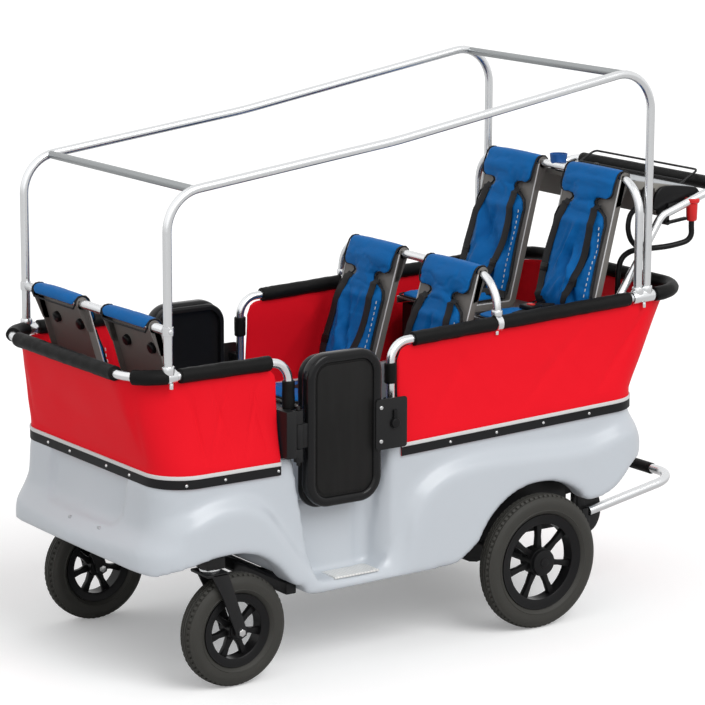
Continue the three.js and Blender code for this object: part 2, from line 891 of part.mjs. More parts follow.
const rearSeatBottom = rearHoopHeight - rearSeatDrop - shellRim;

function seatBox() {
  const rearPart = block(seatBoxFront, seatBoxRear, -seatBoxHalf, seatBoxHalf, rearFloor + gap,
    rearSeatBottom - gap);
  const hollow = block(seatBoxFront + seatBoxWall, seatBoxRear - seatBoxWall, -seatBoxHalf + seatBoxWall,
    seatBoxHalf - seatBoxWall, rearFloor - overrun, rearSeatBottom - gap - seatBoxPlate);
  return geometryOf(cutAll(solid(rearPart), [hollow]));
}

add('seat_box', seatBox(), 'blackPlastic');

// Step plates

const sideNames = new Map([[left, 'left'], [right, 'right']]);

function treadPlate(side) {
  const plate = sideBlock(side, treadFront, treadRear, treadInner, treadOuter,
    recessFloor - treadThickness + gap, recessFloor + treadThickness / 2);
  return geometryOf(solid(plate));
}

for (const [side, word] of sideNames) {
  add(`tread_plate_${word}`, treadPlate(side), 'aluminium');
}

// Rails

// Where the rails' posts stand on the tub's rim.
const postFoot = bodyTopFront + rimSeat;

function frontRail(radius) {
  const z = frontRailHeight;
  const corners = [
    at(hingePostX, -railHalf, postFoot), at(hingePostX, -railHalf, z), at(frontRailX, -railHalf, z),
    at(frontRailX, railHalf, z), at(hingePostX, railHalf, z), at(hingePostX, railHalf, postFoot),
  ];
  return tube(corners, [doorBend, railCorner, railCorner, doorBend], radius);
}

function rearRail(radius) {
  const near = rearRailAt(latchPostX);
  const far = rearRailAt(rearRailX);
  const corners = [
    at(latchPostX, -railHalf, postFoot), at(latchPostX, -railHalf, near), at(rearRailX, -railHalf, far),
    at(rearRailX, railHalf, far), at(latchPostX, railHalf, near), at(latchPostX, railHalf, postFoot),
  ];
  return tube(corners, [doorBend, railCorner, railCorner, doorBend], radius);
}

// Door hinges: a block on each front door post, with two knuckles and the pin
const hingeLower = hingeBottom + hingeOuterKnuckle;
const hingeUpper = hingeTop - hingeOuterKnuckle;

function doorHinge(side) {
  const mount = sideBlock(side, hingeBlockFront, hingeBlockFront + hingeBlockWidth,
    railHalf - hingeBlockDepth / 2, doorPlane + knuckleRadius, hingeBottom + gap, hingeTop);
  const clear = rodZ(knuckleRadius + gap * 2, hingeLower, hingeUpper, hingeX, side * doorPlane);
  const swing = sideBlock(side, hingeX - knuckleRadius, hingeBlockFront + hingeBlockWidth + overrun,
    doorPlane, doorPlane + knuckleRadius + overrun, hingeLower, hingeUpper);
  const bodySeat = sideBlock(side, hingeBlockFront - overrun, hingeBlockFront + hingeBlockWidth + overrun,
    railHalf - hingeBlockDepth, doorPlane + knuckleRadius + overrun, hingeBottom - overrun,
    bodyTopFront + rimSeat);
  const knuckles = [[hingeBottom, hingeLower], [hingeUpper, hingeTop]].map(([low, high]) => rodZ(
    knuckleRadius, low + gap, high - gap, hingeX, side * doorPlane));
  const pin = rodZ(hingePinRadius, hingePinBottom, hingePinTop, hingeX, side * doorPlane);
  const cleared = cutAll(solid(mount), [bodySeat, clear, swing]);
  return [...knuckles, pin].map(solid).reduce((sum, next) => sum.add(next), cleared);
}

const frontRailBody = [left, right].map(doorHinge)
  .reduce((sum, next) => sum.add(next), solid(frontRail(tubeRadius)));
add('front_rail', geometryOf(frontRailBody), 'aluminium');
add('rear_rail', geometryOf(solid(rearRail(tubeRadius))), 'aluminium');

// Foam pads round the rails

const padBore = (tubeRadius + gap) / Math.cos(Math.PI / tubeSides);

function straightPad(start, end) {
  return geometryOf(solid(tube([start, end], [], padRadius, { bore: padBore })));
}

add('front_pad', straightPad(at(frontRailX, -frontPadHalf, frontRailHeight),
  at(frontRailX, frontPadHalf, frontRailHeight)), 'foam');

for (const [side, word] of sideNames) {
  add(`front_side_pad_${word}`, straightPad(at(frontSidePadStart, side * railHalf, frontRailHeight),
    at(frontSidePadEnd, side * railHalf, frontRailHeight)), 'foam');
  add(`rear_side_pad_${word}`, straightPad(
    at(rearSidePadStart, side * railHalf, rearRailAt(rearSidePadStart)),
    at(rearSidePadEnd, side * railHalf, rearRailAt(rearSidePadEnd))), 'foam');
}

function rearEndPad() {
  const near = rearRailAt(rearEndPadStart);
  const far = rearRailAt(rearRailX);
  const corners = [at(rearEndPadStart, -railHalf, near), at(rearRailX, -railHalf, far),
    at(rearRailX, railHalf, far), at(rearEndPadStart, railHalf, near)];
  return geometryOf(solid(tube(corners, [railCorner, railCorner], padRadius, { bore: padBore })));
}

add('rear_end_pad', rearEndPad(), 'foam');

// Fabric side panels

// Plan points of a U, from one door post round the end of the vehicle to the other.
function wrapPoints(doorX, endX, half, corner, offset) {
  const towards = Math.sign(endX - doorX);
  const turnX = endX - towards * corner;
  const outer = corner + offset;
  const quarterTurn = [];
  for (let k = 0; k <= cornerSteps; k += 1) {
    const angle = quarter * k / cornerSteps;
    quarterTurn.push({
      x: turnX + towards * outer * Math.sin(angle),
      y: half - corner + outer * Math.cos(angle),
      across: Math.sin(angle),
    });
  }
  const run = [];
  for (const share of panelSideShares) {
    run.push({ x: mix(doorX, turnX, share), y: half + offset, across: 0 });
  }
  const sidePoints = [...run, ...quarterTurn];
  const mirrored = sidePoints.map((p) => ({ ...p, y: -p.y })).reverse();
  return [...sidePoints, ...mirrored];
}

// A hung panel: rows run from the clamping strip up to the pad.
function hungPanel(lower, upper, bottomAt, topAt) {
  const rowShares = Array.from({ length: panelRows + 1 }, (_, i) => i / panelRows);
  const levelPoint = (lowPoint, topPoint, share, pull) => {
    const x = mix(lowPoint.x, topPoint.x, share);
    const y = mix(lowPoint.y, topPoint.y, share);
    return at(x, y - Math.sign(y) * pull, 0);
  };
  const columns = lower.inner.map((_, i) => {
    const section = [];
    const low = bottomAt(lower.inner[i].x);
    const strip = bodyTopAt(lower.inner[i].x) + stripLift;
    const top = topAt(upper.inner[i].x);
    section.push(at(lower.inner[i].x, lower.inner[i].y, low));
    section.push(at(lower.band[i].x, lower.band[i].y, low));
    section.push(at(lower.band[i].x, lower.band[i].y, strip));
    for (const face of ['outer', 'inner']) {
      const shares = face === 'outer' ? rowShares : [...rowShares].reverse();
      for (const share of shares) {
        const pull = panelPull * Math.sin(Math.PI * share) * (1 - lower.inner[i].across);
        const point = levelPoint(lower[face][i], upper[face][i], share, pull);
        section.push(point.setZ(mix(strip + stripExtra * (1 - share), top, share)));
      }
    }
    return section;
  });
  return loft(columns);
}

function panelFaces(doorX, endX, half, corner) {
  return {
    inner: wrapPoints(doorX, endX, half, corner, 0),
    outer: wrapPoints(doorX, endX, half, corner, panelThickness),
    band: wrapPoints(doorX, endX, half, corner, panelThickness + stripExtra),
  };
}

// How far a rail's bend at a door post dips at a distance from the post.
function bendDip(distance) {
  return distance < doorBend ? doorBend - Math.sqrt(doorBend ** 2 - (doorBend - distance) ** 2) : 0;
}

function frontPanel() {
  const lower = panelFaces(frontPanelDoorX, bodyFront - panelOffset, bodyTopHalf + panelOffset,
    bodyCorner + panelOffset);
  const upper = panelFaces(frontPanelDoorX, frontRailX + panelTopInset, railHalf - panelTopInset,
    panelTopCorner);
  return hungPanel(lower, upper, () => frontPanelBottom,
    (x) => frontRailHeight - panelTopDrop - bendDip(hingePostX - x));
}

function rearPanel() {
  const length = bodyRear - rearPanelDoorX;
  const bottomAt = (x) => rearPanelBottom + rearPanelRise * (x - rearPanelDoorX) / length;
  const lower = panelFaces(rearPanelDoorX, bodyRear + panelOffset, bodyTopHalf + panelOffset,
    bodyCorner + panelOffset);
  const upper = panelFaces(rearPanelDoorX, rearRailX - panelTopInset, railHalf - panelTopInset,
    panelTopCorner);
  return hungPanel(lower, upper, bottomAt, (x) => rearRailAt(x) - panelTopDrop - bendDip(x - latchPostX));
}

add('front_panel', geometryOf(solid(frontPanel())), 'vinyl');
add('rear_panel', geometryOf(solid(rearPanel())), 'vinyl');

// Canopy frame

const rearClampTop = rearRailAt(rearPostX) + tubeRadius + clampRise;
const frontClampTop = frontRailHeight + tubeRadius + clampRise;

function canopyHoop(side, radius) {
  const y = side * railHalf;
  const corners = [
    at(frontPostX, y, frontClampTop + gap), at(frontPostX, y, canopyFrontHeight),
    at(canopyMidX, y, canopyMidHeight), at(rearPostX, y, canopyRearHeight),
    at(rearPostX, y, rearClampTop + gap),
  ];
  return tube(corners, [canopyBend, canopySag, canopyBend], radius);
}

// Height of the canopy tube's centre line, on its straight runs and on the bends over the posts.
function canopyAt(x) {
  const front = x < canopyMidX;
  const slope = front ? (canopyMidHeight - canopyFrontHeight) / (canopyMidX - frontPostX)
    : (canopyRearHeight - canopyMidHeight) / (rearPostX - canopyMidX);
  const lineAt = (place) => canopyMidHeight + slope * (place - canopyMidX);
  const centre = front ? frontPostX + canopyBend : rearPostX - canopyBend;
  const bendStart = centre - canopyBend * Math.sin(Math.atan(slope));
  if (front ? x >= bendStart : x <= bendStart) {
    return lineAt(x);
  }
  return lineAt(centre) - canopyBend * Math.hypot(1, slope) + Math.sqrt(canopyBend ** 2 - (x - centre) ** 2);
}

// A bar between the hoops, its ends coped to their round sides.
function crossbar(x) {
  const bar = rodY(crossbarRadius, -railHalf, railHalf, x, canopyAt(x));
  return geometryOf(cutAll(solid(bar), [canopyHoop(left, padBore), canopyHoop(right, padBore)]));
}

for (const [side, word] of sideNames) {
  add(`canopy_hoop_${word}`, geometryOf(solid(canopyHoop(side, tubeRadius))), 'aluminium');
}
add('canopy_crossbar_front', crossbar(frontCrossbarX), 'steel');
add('canopy_crossbar_rear', crossbar(rearCrossbarX), 'steel');

// Clamps that seat the posts on the rails

function railClamp(y, middleX, length, heightAt, rail) {
  const start = middleX - length / 2;
  const end = middleX + length / 2;
  const low = tubeRadius + clampDrop;
  const top = heightAt(rearPostX) + tubeRadius + clampRise;
  const foot = [[start, heightAt(start) - low], [end, heightAt(end) - low]];
  const shape = outline([...foot, [end, top], [start, top]]);
  const body = solid(acrossY(shape, y - clampWidth / 2, y + clampWidth / 2));
  const stub = rodZ(stubRadius, heightAt(middleX) - low - stubLength, heightAt(middleX) - low + gap,
    middleX, y + Math.sign(y) * stubOut, tubeSides);
  return geometryOf(cutAll(body, [rail(padBore)]).add(solid(stub)));
}

for (const [side, word] of sideNames) {
  add(`front_clamp_${word}`, railClamp(side * (railHalf - frontClampInset), frontClampX, frontClampLength,
    () => frontRailHeight, frontRail), 'aluminium');
  add(`rear_clamp_${word}`, railClamp(side * railHalf, (rearPostX + rearHoopX) / 2, rearClampLength,
    rearRailAt, rearRail), 'aluminium');
}

// Seat bar and hoops

function frontSeatBar() {
  const ends = [left, right].map((side) => at(frontBarX, side * railHalf, frontBarHeight));
  const bar = tube(ends, [], tubeRadius);
  const collars = [left, right].map((side) => rodZ(collarRadius, frontBarHeight - collarHalf,
    frontBarHeight + collarHalf, frontBarX, side * railHalf, roundSides));
  const posts = [left, right].map((side) => rodZ(padBore, frontBarHeight - overrun, frontBarHeight + overrun,
    frontBarX, side * railHalf, roundSides));
  return geometryOf(cutAll(joinAll([bar, ...collars]), posts));
}

function seatHoop(x, height, foot, radius = tubeRadius) {
  return tube([at(x, -railHalf, foot), at(x, -railHalf, height), at(x, railHalf, height),
    at(x, railHalf, foot)], [hoopBend, hoopBend], radius);
}

function middleSeatHoop() {
  const padTop = rearRailAt(middleHoopX) + padRadius + gap * 2;
  const pieces = [seatHoop(middleHoopX, middleHoopHeight, padTop + saddleThickness / 2)];
  for (const side of [left, right]) {
    pieces.push(sideBlock(side, middleHoopX - saddleLength / 2, middleHoopX + saddleLength / 2,
      railHalf - saddleWidth / 2, railHalf + saddleWidth / 2, padTop, padTop + saddleThickness));
  }
  return geometryOf(joinAll(pieces));
}

add('front_seat_bar', frontSeatBar(), 'aluminium');
add('middle_seat_hoop', middleSeatHoop(), 'aluminium');
const rearHoop = seatHoop(rearHoopX, rearHoopHeight, rearClampTop + gap);
add('rear_seat_hoop', geometryOf(solid(rearHoop)), 'aluminium');

// Seats: each row names its bar, the drop from there to the seat, the way the child faces and its lean.
const seatStand = shellRim + benchClearance;
const frontDrop = frontBarHeight - frontBenchTop - seatStand;
const middleDrop = middleHoopHeight - middleBenchTop - seatStand;
const seatRows = [
  { word: 'front', x: frontBarX, z: frontBarHeight, drop: frontDrop, facing: right, lean: seatLean },
  { word: 'middle', x: middleHoopX, z: middleHoopHeight, drop: middleDrop, facing: left, lean: seatLean },
  { word: 'rear', x: rearHoopX, z: rearHoopHeight, drop: rearSeatDrop, facing: left, lean: rearSeatLean },
];

// The room that the row's bar needs in a seat.
function barRoom(row) {
  if (row.word === 'front') {
    return rodY(padBore, -railHalf, railHalf, row.x, row.z);
  }
  return seatHoop(row.x, row.z, row.z - row.drop / 2, padBore);
}

// How far in front of the bar's middle the shell's front face lies, at a drop below the bar.
function faceAt(row, drop) {
  return tubeRadius + gap + shellThickness + drop * Math.tan(row.lean);
}

// Draws a side view given by distances in front of the bar and drops below it.
function seatOutline(row, points) {
  return outline(points.map(([forward, drop]) => [row.x + row.facing * forward, row.z - drop]));
}

function seatShell(row, middleY) {
  const foot = faceAt(row, row.drop);
  const toe = foot + seatDepth;
  const pan = row.drop + shellThickness;
  const earBack = -earRadius;
  const rimFoot = foot - shellThickness - shellRim;
  const outer = seatOutline(row, [
    [faceAt(row, 0), -earRadius / 2], [foot, row.drop], [toe, row.drop], [toe, row.drop + shellRim],
    [foot, row.drop + shellRim], [rimFoot, row.drop - shellRim], [earBack, earRadius],
    [earBack, -earRadius / 2], [earBack / 2, -earRadius], [-earBack / 2, -earRadius],
  ]);
  const inner = seatOutline(row, [
    [toe + overrun, 0], [faceAt(row, 0) - shellThickness, 0],
    [faceAt(row, pan) - shellThickness, pan], [toe - shellThickness, pan],
    [toe - shellThickness, pan + overrun], [-overrun, pan + overrun], [-overrun, -overrun],
    [toe + overrun, -overrun],
  ]);
  const above = seatOutline(row, [
    [toe + overrun, 0], [faceAt(row, 0) + gap, 0], [faceAt(row, row.drop) + gap, row.drop],
    [toe + overrun, row.drop],
  ]);
  const half = seatWidth / 2;
  const body = solid(acrossY(outer, middleY - half, middleY + half));
  const hollow = acrossY(inner, middleY - half + flangeThickness, middleY + half - flangeThickness);
  const clear = acrossY(above, middleY - half - overrun, middleY + half + overrun);
  return geometryOf(cutAll(body, [hollow, clear, barRoom(row)]));
}

for (const row of seatRows) {
  for (const [side, word] of sideNames) {
    add(`${row.word}_seat_shell_${word}`, seatShell(row, side * seatSpacing), 'shell');
  }
}

// Cushions: a roll round the bar with a flap, then a crowned strip down the back and along the seat.

// One cross section of the strip: flat underneath, crowned on top.
function cushionRing({ base, normal, half, thick, crown }) {
  const lower = [];
  const upper = [];
  for (let i = 0; i <= cushionSteps; i += 1) {
    const share = 2 * i / cushionSteps - 1;
    const bulge = crown * (1 - share * share);
    const foot = base.clone().addScaledVector(normal, gap).add(at(0, share * half, 0));
    const inset = at(0, -share * cushionPullIn / 2, 0);
    lower.push(foot.clone());
    upper.push(foot.add(inset).addScaledVector(normal, thick + bulge));
  }
  return [...upper, ...lower.reverse()];
}

function cushionStations(row, middleY) {
  const backNormal = at(row.facing * Math.cos(row.lean), 0, Math.sin(row.lean));
  const seatNormal = at(0, 0, 1);
  const foldNormal = backNormal.clone().add(seatNormal);
  const back = (drop) => at(row.x + row.facing * faceAt(row, drop), middleY, row.z - drop);
  const seat = (run) => at(row.x + row.facing * (faceAt(row, row.drop) + run), middleY, row.z - row.drop);
  const half = cushionWidth / 2;
  const neck = neckWidth / 2;
  const thick = padThickness;
  const crown = cushionCrown;
  const belly = row.drop - neckEnd;
  const run = seatDepth;
  const onBack = (drop, width, depth, rise) => ({
    base: back(drop), normal: backNormal, half: width, thick: depth, crown: rise,
  });
  const onSeat = (place, width, depth, rise) => ({
    base: seat(place), normal: seatNormal, half: width, thick: depth, crown: rise,
  });
  return [
    onBack(headrestHeight - crown, neck, thick * neckShare, 0),
    onBack(neckEnd - crown, neck, thick * neckShare, crown / 2),
    onBack(neckEnd, half - cushionPullIn, thick * neckShare, crown / 2),
    onBack(neckEnd + belly * bellyShares[0], half, thick, crown),
    onBack(neckEnd + belly * bellyShares[1], half - cushionPullIn / 2, thick, crown),
    onBack(neckEnd + belly * bellyShares[2], half, thick, crown),
    { base: back(row.drop), normal: foldNormal, half, thick: thick * foldShare, crown: crown / 2 },
    onSeat(run * seatShares[0], half, thick, crown),
    onSeat(run * seatShares[1], half - cushionPullIn / 2, thick, crown),
    onSeat(run * seatShares[2], half, thick, crown),
    onSeat(run, half - cushionPullIn, thick / 2, 0),
  ];
}

function seatCushion(row, middleY) {
  const half = headrestWidth / 2;
  const front = headrestThickness;
  const end = headrestHeight;
  const round = headrestRound;
  const flap = seatOutline(row, [
    [0, -rollRadius], [faceAt(row, 0) + front - round, -rollRadius],
    [faceAt(row, 0) + front, round / 2 - rollRadius],
    [faceAt(row, end - round / 2) + front, end - round / 2], [faceAt(row, end) + front - round, end],
    [faceAt(row, end) + gap, end], [faceAt(row, 0) + gap, 0], [0, 0],
  ]);
  const plateRoom = seatOutline(row, [
    [faceAt(row, 0) + gap, -gap], [faceAt(row, end) + gap, end],
    [faceAt(row, end) - shellThickness - gap, end + gap], [faceAt(row, 0) - shellThickness - gap, -gap],
  ]);
  const strip = loft(cushionStations(row, middleY).map(cushionRing));
  const whole = joinAll([
    rodY(rollRadius, middleY - half, middleY + half, row.x, row.z),
    acrossY(flap, middleY - half, middleY + half), strip,
  ]);
  const slot = acrossY(plateRoom, middleY - seatWidth, middleY + seatWidth);
  return geometryOf(cutAll(whole, [barRoom(row), slot]));
}

for (const row of seatRows) {
  for (const [side, word] of sideNames) {
    add(`${row.word}_cushion_${word}`, seatCushion(row, side * seatSpacing), 'cloth');
  }
}

// Console behind the rear seats, with its wire gallery

// The handle tube's centre height behind its elbow.
function handleAt(x) {
  return mix(handleElbowZ, handleRearZ, (x - handleElbowX) / (handleRearX - handleElbowX));
}

function consoleBody() {
  const section = outline([
    [consoleFront, consoleFrontTop], [consoleFront, consoleFrontTop - consoleFrontDepth],
    [consoleStepX, consoleFrontTop - consoleFrontDepth - gap],
    [consoleDeepX, consoleRearTop - consoleDeepDrop + tubeRadius],
    [consoleRear, consoleRearTop - consoleRearDepth], [consoleRear, consoleRearTop],
  ]);
  const tongue = block(rearHoopX + tubeRadius + gap, consoleFront + overrun, -tongueHalf, tongueHalf,
    consoleFrontTop - consoleFrontDepth, consoleFrontTop - galleryRadius);
  const y = galleryHalf;
  const footShare = (galleryFootX - consoleFront) / (consoleRear - consoleFront);
  const footZ = mix(consoleFrontTop, consoleRearTop, footShare);
  const gallery = tube([at(galleryFootX, -y, footZ - galleryRadius), at(galleryTopX, -y, galleryTop),
    at(galleryTopX, y, galleryTop), at(galleryFootX, y, footZ - galleryRadius)],
  [galleryBend, galleryBend], galleryRadius, { sides: wireSides, steps: wireBendSteps });
  const lugZ = handleAt((consoleLugFront + consoleLugRear) / 2);
  const lugs = [left, right].map((side) => sideBlock(side, consoleLugFront, consoleLugRear,
    consoleHalf - tubeRadius, handleHalf - tubeRadius - gap, lugZ - consoleLugHalf, lugZ + consoleLugHalf));
  return geometryOf(joinAll([acrossY(section, -consoleHalf, consoleHalf), tongue, gallery, ...lugs]));
}

add('console', consoleBody(), 'tray');

// Push handle with its grip

const handlePath = [
  at(handleFootX, -handleHalf, handleFootZ), at(handleElbowX, -handleHalf, handleElbowZ),
  at(handleRearX, -handleHalf, handleRearZ), at(handleRearX, handleHalf, handleRearZ),
  at(handleElbowX, handleHalf, handleElbowZ), at(handleFootX, handleHalf, handleFootZ),
];

const leverPivotZ = handleAt(leverPivotX) - leverDrop;

function leverEars() {
  const half = leverWidth / 2 + gap;
  const y = -handleHalf;
  const ears = [left, right].map((side) => rodY(leverEyeRadius, y + side * half,
    y + side * (half + leverEarThickness), leverPivotX, leverPivotZ, tubeSides));
  const webTop = handleAt(leverPivotX) - tubeRadius / 2;
  const webs = [left, right].map((side) => block(leverPivotX - leverEyeRadius, leverPivotX + leverEyeRadius / 2,
    y + side * half, y + side * (half + leverEarThickness), leverPivotZ, webTop));
  const pin = rodY(leverPinRadius, y - half - leverEarThickness / 2, y + half + leverEarThickness / 2,
    leverPivotX, leverPivotZ, tubeSides);
  return [...ears, ...webs, pin];
}

const capBottom = handleAt(capX) - tubeRadius / 2 - capLength;

function capPiece() {
  const cap = new THREE.CylinderGeometry(capRadius, capRadius * capTaperShare, capLength, roundSides);
  return cap.rotateX(quarter).translate(capX, -handleHalf, capBottom + capLength / 2);
}

function handleFrame() {
  const frame = tube(handlePath, [handleElbowBend, handleCornerBend, handleCornerBend, handleElbowBend],
    tubeRadius);
  const lugs = [left, right].map((side) => sideBlock(side, handleFootX - handleLugWidth / 2,
    handleFootX + handleLugWidth / 2, handleHalf - tubeRadius / 2, wallHalf - gap,
    bodyTopFront - handleLugDrop, handleFootZ + tubeRadius / 2));
  return geometryOf(joinAll([frame, ...lugs, capPiece(), ...leverEars()]));
}

add('handle_frame', handleFrame(), 'aluminium');

function handleGrip() {
  return straightPad(at(handleRearX, -gripHalf, handleRearZ), at(handleRearX, gripHalf, handleRearZ));
}

add('handle_grip', handleGrip(), 'foam');

// Control cable, held at the handle's cap and at the seat box

const cableLead = 14;
const cablePoints = [
  [552, -310, 972], [540, -307, 957], [516, -301, 950], [484, -293, 945], [452, -285, 943],
  [403, -280, 943], [372, -278, 940], [351, -276, 930], [341, -274, 916], [338, -272, 898], [337, -270, 870],
];

// The cable runs down behind the seat box from its last chosen point.
function controlCable() {
  const start = capBottom - gap;
  const route = [at(capX, -handleHalf, start), at(capX, -handleHalf, start - cableLead)];
  route.push(...cablePoints.map(([x, y, z]) => at(x, y, z)));
  const foot = route[route.length - 1].clone().setZ(rearSeatBottom - overrun);
  route.push(foot);
  const curve = new THREE.CatmullRomCurve3(route);
  return new THREE.ExtrudeGeometry(circleShape(cableRadius, cableSides), {
    extrudePath: curve,
    steps: cableSteps,
  });
}

add('control_cable', geometryOf(solid(controlCable())), 'blackPlastic');

// Brake lever under the left handle tube

function brakeLever() {
  const slope = Math.atan2(handleRearZ - handleElbowZ, handleRearX - handleElbowX) - leverTilt;
  const eye = rodY(leverEyeRadius, -handleHalf - leverWidth / 2, -handleHalf + leverWidth / 2,
    leverPivotX, leverPivotZ, tubeSides);
  const blade = new THREE.BoxGeometry(leverLength, leverWidth, leverThickness);
  blade.rotateY(-slope).translate(leverPivotX + leverLength / 2 * Math.cos(slope), -handleHalf,
    leverPivotZ - leverThickness / 2 + leverLength / 2 * Math.sin(slope));
  const bore = rodY(leverPinRadius * fitShare + gap, -handleHalf - leverWidth, -handleHalf + leverWidth,
    leverPivotX, leverPivotZ, tubeSides);
  return geometryOf(cutAll(joinAll([eye, blade]), [bore]));
}

add('brake_lever', brakeLever(), 'blackPlastic');

// Rear bumper

function rearBumper() {
  const corners = [
    at(bumperFootX, -bumperHalf, bumperFootZ), at(bumperRearX, -bumperHalf, bumperRearZ),
    at(bumperRearX, bumperHalf, bumperRearZ), at(bumperFootX, bumperHalf, bumperFootZ),
  ];
  return geometryOf(solid(tube(corners, [bumperBend, bumperBend], bumperRadius)));
}

add('rear_bumper', rearBumper(), 'aluminium');

// Wheels

function latheY(profile, segments, x, y, z) {
  const points = profile.map(([radius, across]) => new THREE.Vector2(radius, across));
  return new THREE.LatheGeometry(points, segments).translate(x, y, z);
}

function tyre(outer, bead, width, x, y, z) {
  const half = width / 2;
  const seat = half * rimWidthShare * beadShare;
  const mid = (bead + outer) / 2;
  const shoulder = mix(bead, outer, tyreShoulder.height);
  const tread = half * treadShare;
  const profile = [
    [bead + gap, -seat], [mid, -half], [shoulder, -half * tyreShoulder.width], [outer, -tread],
    [outer, tread], [shoulder, half * tyreShoulder.width], [mid, half], [bead + gap, seat],
  ];
  return latheY([...profile, profile[0]], wheelSides, x, y, z);
}

function rim({ bead, opening, hub, width, x, y, z, bore, cap }) {
  const half = width * rimWidthShare / 2;
  const lip = half * rimLipShare;
  const ring = latheY([[opening, -lip], [bead, -half], [bead, half], [opening, lip], [opening, -lip]],
    wheelSides, x, y, z);
  const hubHalf = width * hubWidthShare / 2;
  const pieces = [ring, rodY(hub, y - hubHalf, y + hubHalf, x, z)];
  for (let i = 0; i < spokeCount; i += 1) {
    const length = opening - hub + spokeWidth;
    const spoke = new THREE.BoxGeometry(length, spokeDepth, spokeWidth);
    spoke.translate(hub - spokeWidth / 2 + length / 2, 0, 0);
    pieces.push(spoke.rotateY(2 * Math.PI * i / spokeCount).translate(x, y, z));
  }
  if (cap !== 0) {
    pieces.push(rodY(hub * hubCapShare, y, y + cap * (hubHalf + rearHubCapLength), x, z));
  }
  const body = joinAll(pieces);
  return bore > 0 ? cutAll(body, [rodY(bore, y - width, y + width, x, z)]) : body;
}

const frontAxleX = swivelX + casterTrail;

for (const [side, word] of sideNames) {
  const rearY = side * rearTrackHalf;
  add(`rear_rim_${word}`, geometryOf(rim({
    bead: rearBeadRadius, opening: rearOpeningRadius, hub: rearHubRadius, width: rearTyreWidth,
    x: 0, y: rearY, z: axleHeight, bore: 0, cap: side,
  })), 'blackPlastic');
  add(`rear_tyre_${word}`, geometryOf(solid(tyre(rearWheelRadius, rearBeadRadius, rearTyreWidth, 0, rearY,
    axleHeight))), 'rubber');
  const frontY = side * frontTrackHalf;
  add(`front_rim_${word}`, geometryOf(rim({
    bead: frontBeadRadius, opening: frontOpeningRadius, hub: frontHubRadius, width: frontTyreWidth,
    x: frontAxleX, y: frontY, z: frontWheelRadius, bore: axleBoltRadius * fitShare + gap, cap: 0,
  })), 'blackPlastic');
  add(`front_tyre_${word}`, geometryOf(solid(tyre(frontWheelRadius, frontBeadRadius, frontTyreWidth,
    frontAxleX, frontY, frontWheelRadius))), 'rubber');
}

// Caster forks

function forkLeg(legY) {
  const half = forkLegWidth / 2;
  const shape = outline([
    [swivelX - half, crownTop], [swivelX - half, crownTop - crownThickness],
    [frontAxleX - forkFootRadius, frontWheelRadius], [frontAxleX, frontWheelRadius - forkFootRadius],
    [frontAxleX + forkFootRadius, frontWheelRadius], [swivelX + half + half, crownTop - crownThickness],
    [swivelX + half, crownTop],
  ]);
  return acrossY(shape, legY - forkLegThickness / 2, legY + forkLegThickness / 2);
}

function casterFork(side) {
  const y = side * frontTrackHalf;
  const legOffset = frontTyreWidth / 2 + forkClearance + forkLegThickness / 2;
  const reach = legOffset + forkLegThickness / 2;
  const pieces = [
    block(swivelX - crownWidth / 2, swivelX + crownWidth / 2, y - reach, y + reach,
      crownTop - crownThickness, crownTop),
    forkLeg(y - legOffset), forkLeg(y + legOffset),
    rodY(axleBoltRadius, y - reach - axleHeadThickness / 2, y + reach + axleHeadThickness / 2,
      frontAxleX, frontWheelRadius, roundSides),
    rodY(axleHeadRadius, y - reach - axleHeadThickness, y - reach, frontAxleX, frontWheelRadius, tubeSides),
    rodY(axleHeadRadius, y + reach, y + reach + axleHeadThickness, frontAxleX, frontWheelRadius, tubeSides),
  ];
  const hubHalf = frontTyreWidth * hubWidthShare / 2;
  for (const face of [left, right]) {
    pieces.push(rodY(axleHeadRadius, y + face * (hubHalf + gap), y + face * legOffset, frontAxleX,
      frontWheelRadius, tubeSides));
  }
  return geometryOf(joinAll(pieces));
}

for (const [side, word] of sideNames) {
  add(`caster_fork_${word}`, casterFork(side), 'blackMetal');
}

// Doors: a moulded panel with a raised rim, its knuckle and the latch plate

function doorPanel(side) {
  const face = doorOuter;
  const round = doorCorner - doorRim;
  const panel = acrossY(roundedRect(doorFront, doorRear, doorBottom, doorTop, doorCorner),
    side * doorInner, side * face);
  const inside = acrossY(roundedRect(doorFront + doorRim, doorRear - doorRim, doorInnerLow, doorTop - doorRim,
    round), side * (doorInner - overrun), side * (doorInner + doorInnerRecess));
  const pocket = acrossY(roundedRect(doorFront + doorRim, doorRear - doorRim, doorBottom + doorRim,
    doorTop - doorRim, round), side * (face - doorRecess), side * (face + overrun));
  const knuckle = rodZ(knuckleRadius, hingeLower + gap, hingeUpper - gap, hingeX, side * doorPlane);
  const leaf = sideBlock(side, hingeX, doorFront + doorRim / 2, doorPlane - knuckleRadius / 2,
    doorPlane + knuckleRadius / 2, hingeLower + gap, hingeUpper - gap);
  const pinHole = rodZ(hingePinRadius * fitShare + gap, hingeLower - overrun, hingeUpper + overrun, hingeX,
    side * doorPlane);
  const plateShape = roundedRect(latchPlateFront, latchPlateRear, latchPlateBottom, latchPlateTop,
    latchPlateRound);
  const plate = acrossY(plateShape, side * (face - gap), side * (face + latchPlateThickness), plateRoundSteps);
  const keeper = sideBlock(side, latchPlateRear - keeperWidth, latchPlateRear - latchPlateThickness,
    railHalf + tubeRadius + 2 * gap, face + gap, latchPlateBottom + keeperWidth, latchPlateTop - keeperWidth);
  const screws = [screwUpper, screwLower].map((z) => rodY(screwRadius, side * face,
    side * (face + latchPlateThickness + screwHead), screwX, z, tubeSides));
  const body = joinAll([knuckle, leaf, plate, keeper, ...screws]);
  return geometryOf(cutAll(body.add(cutAll(solid(panel), [pocket, inside])), [pinHole]));
}

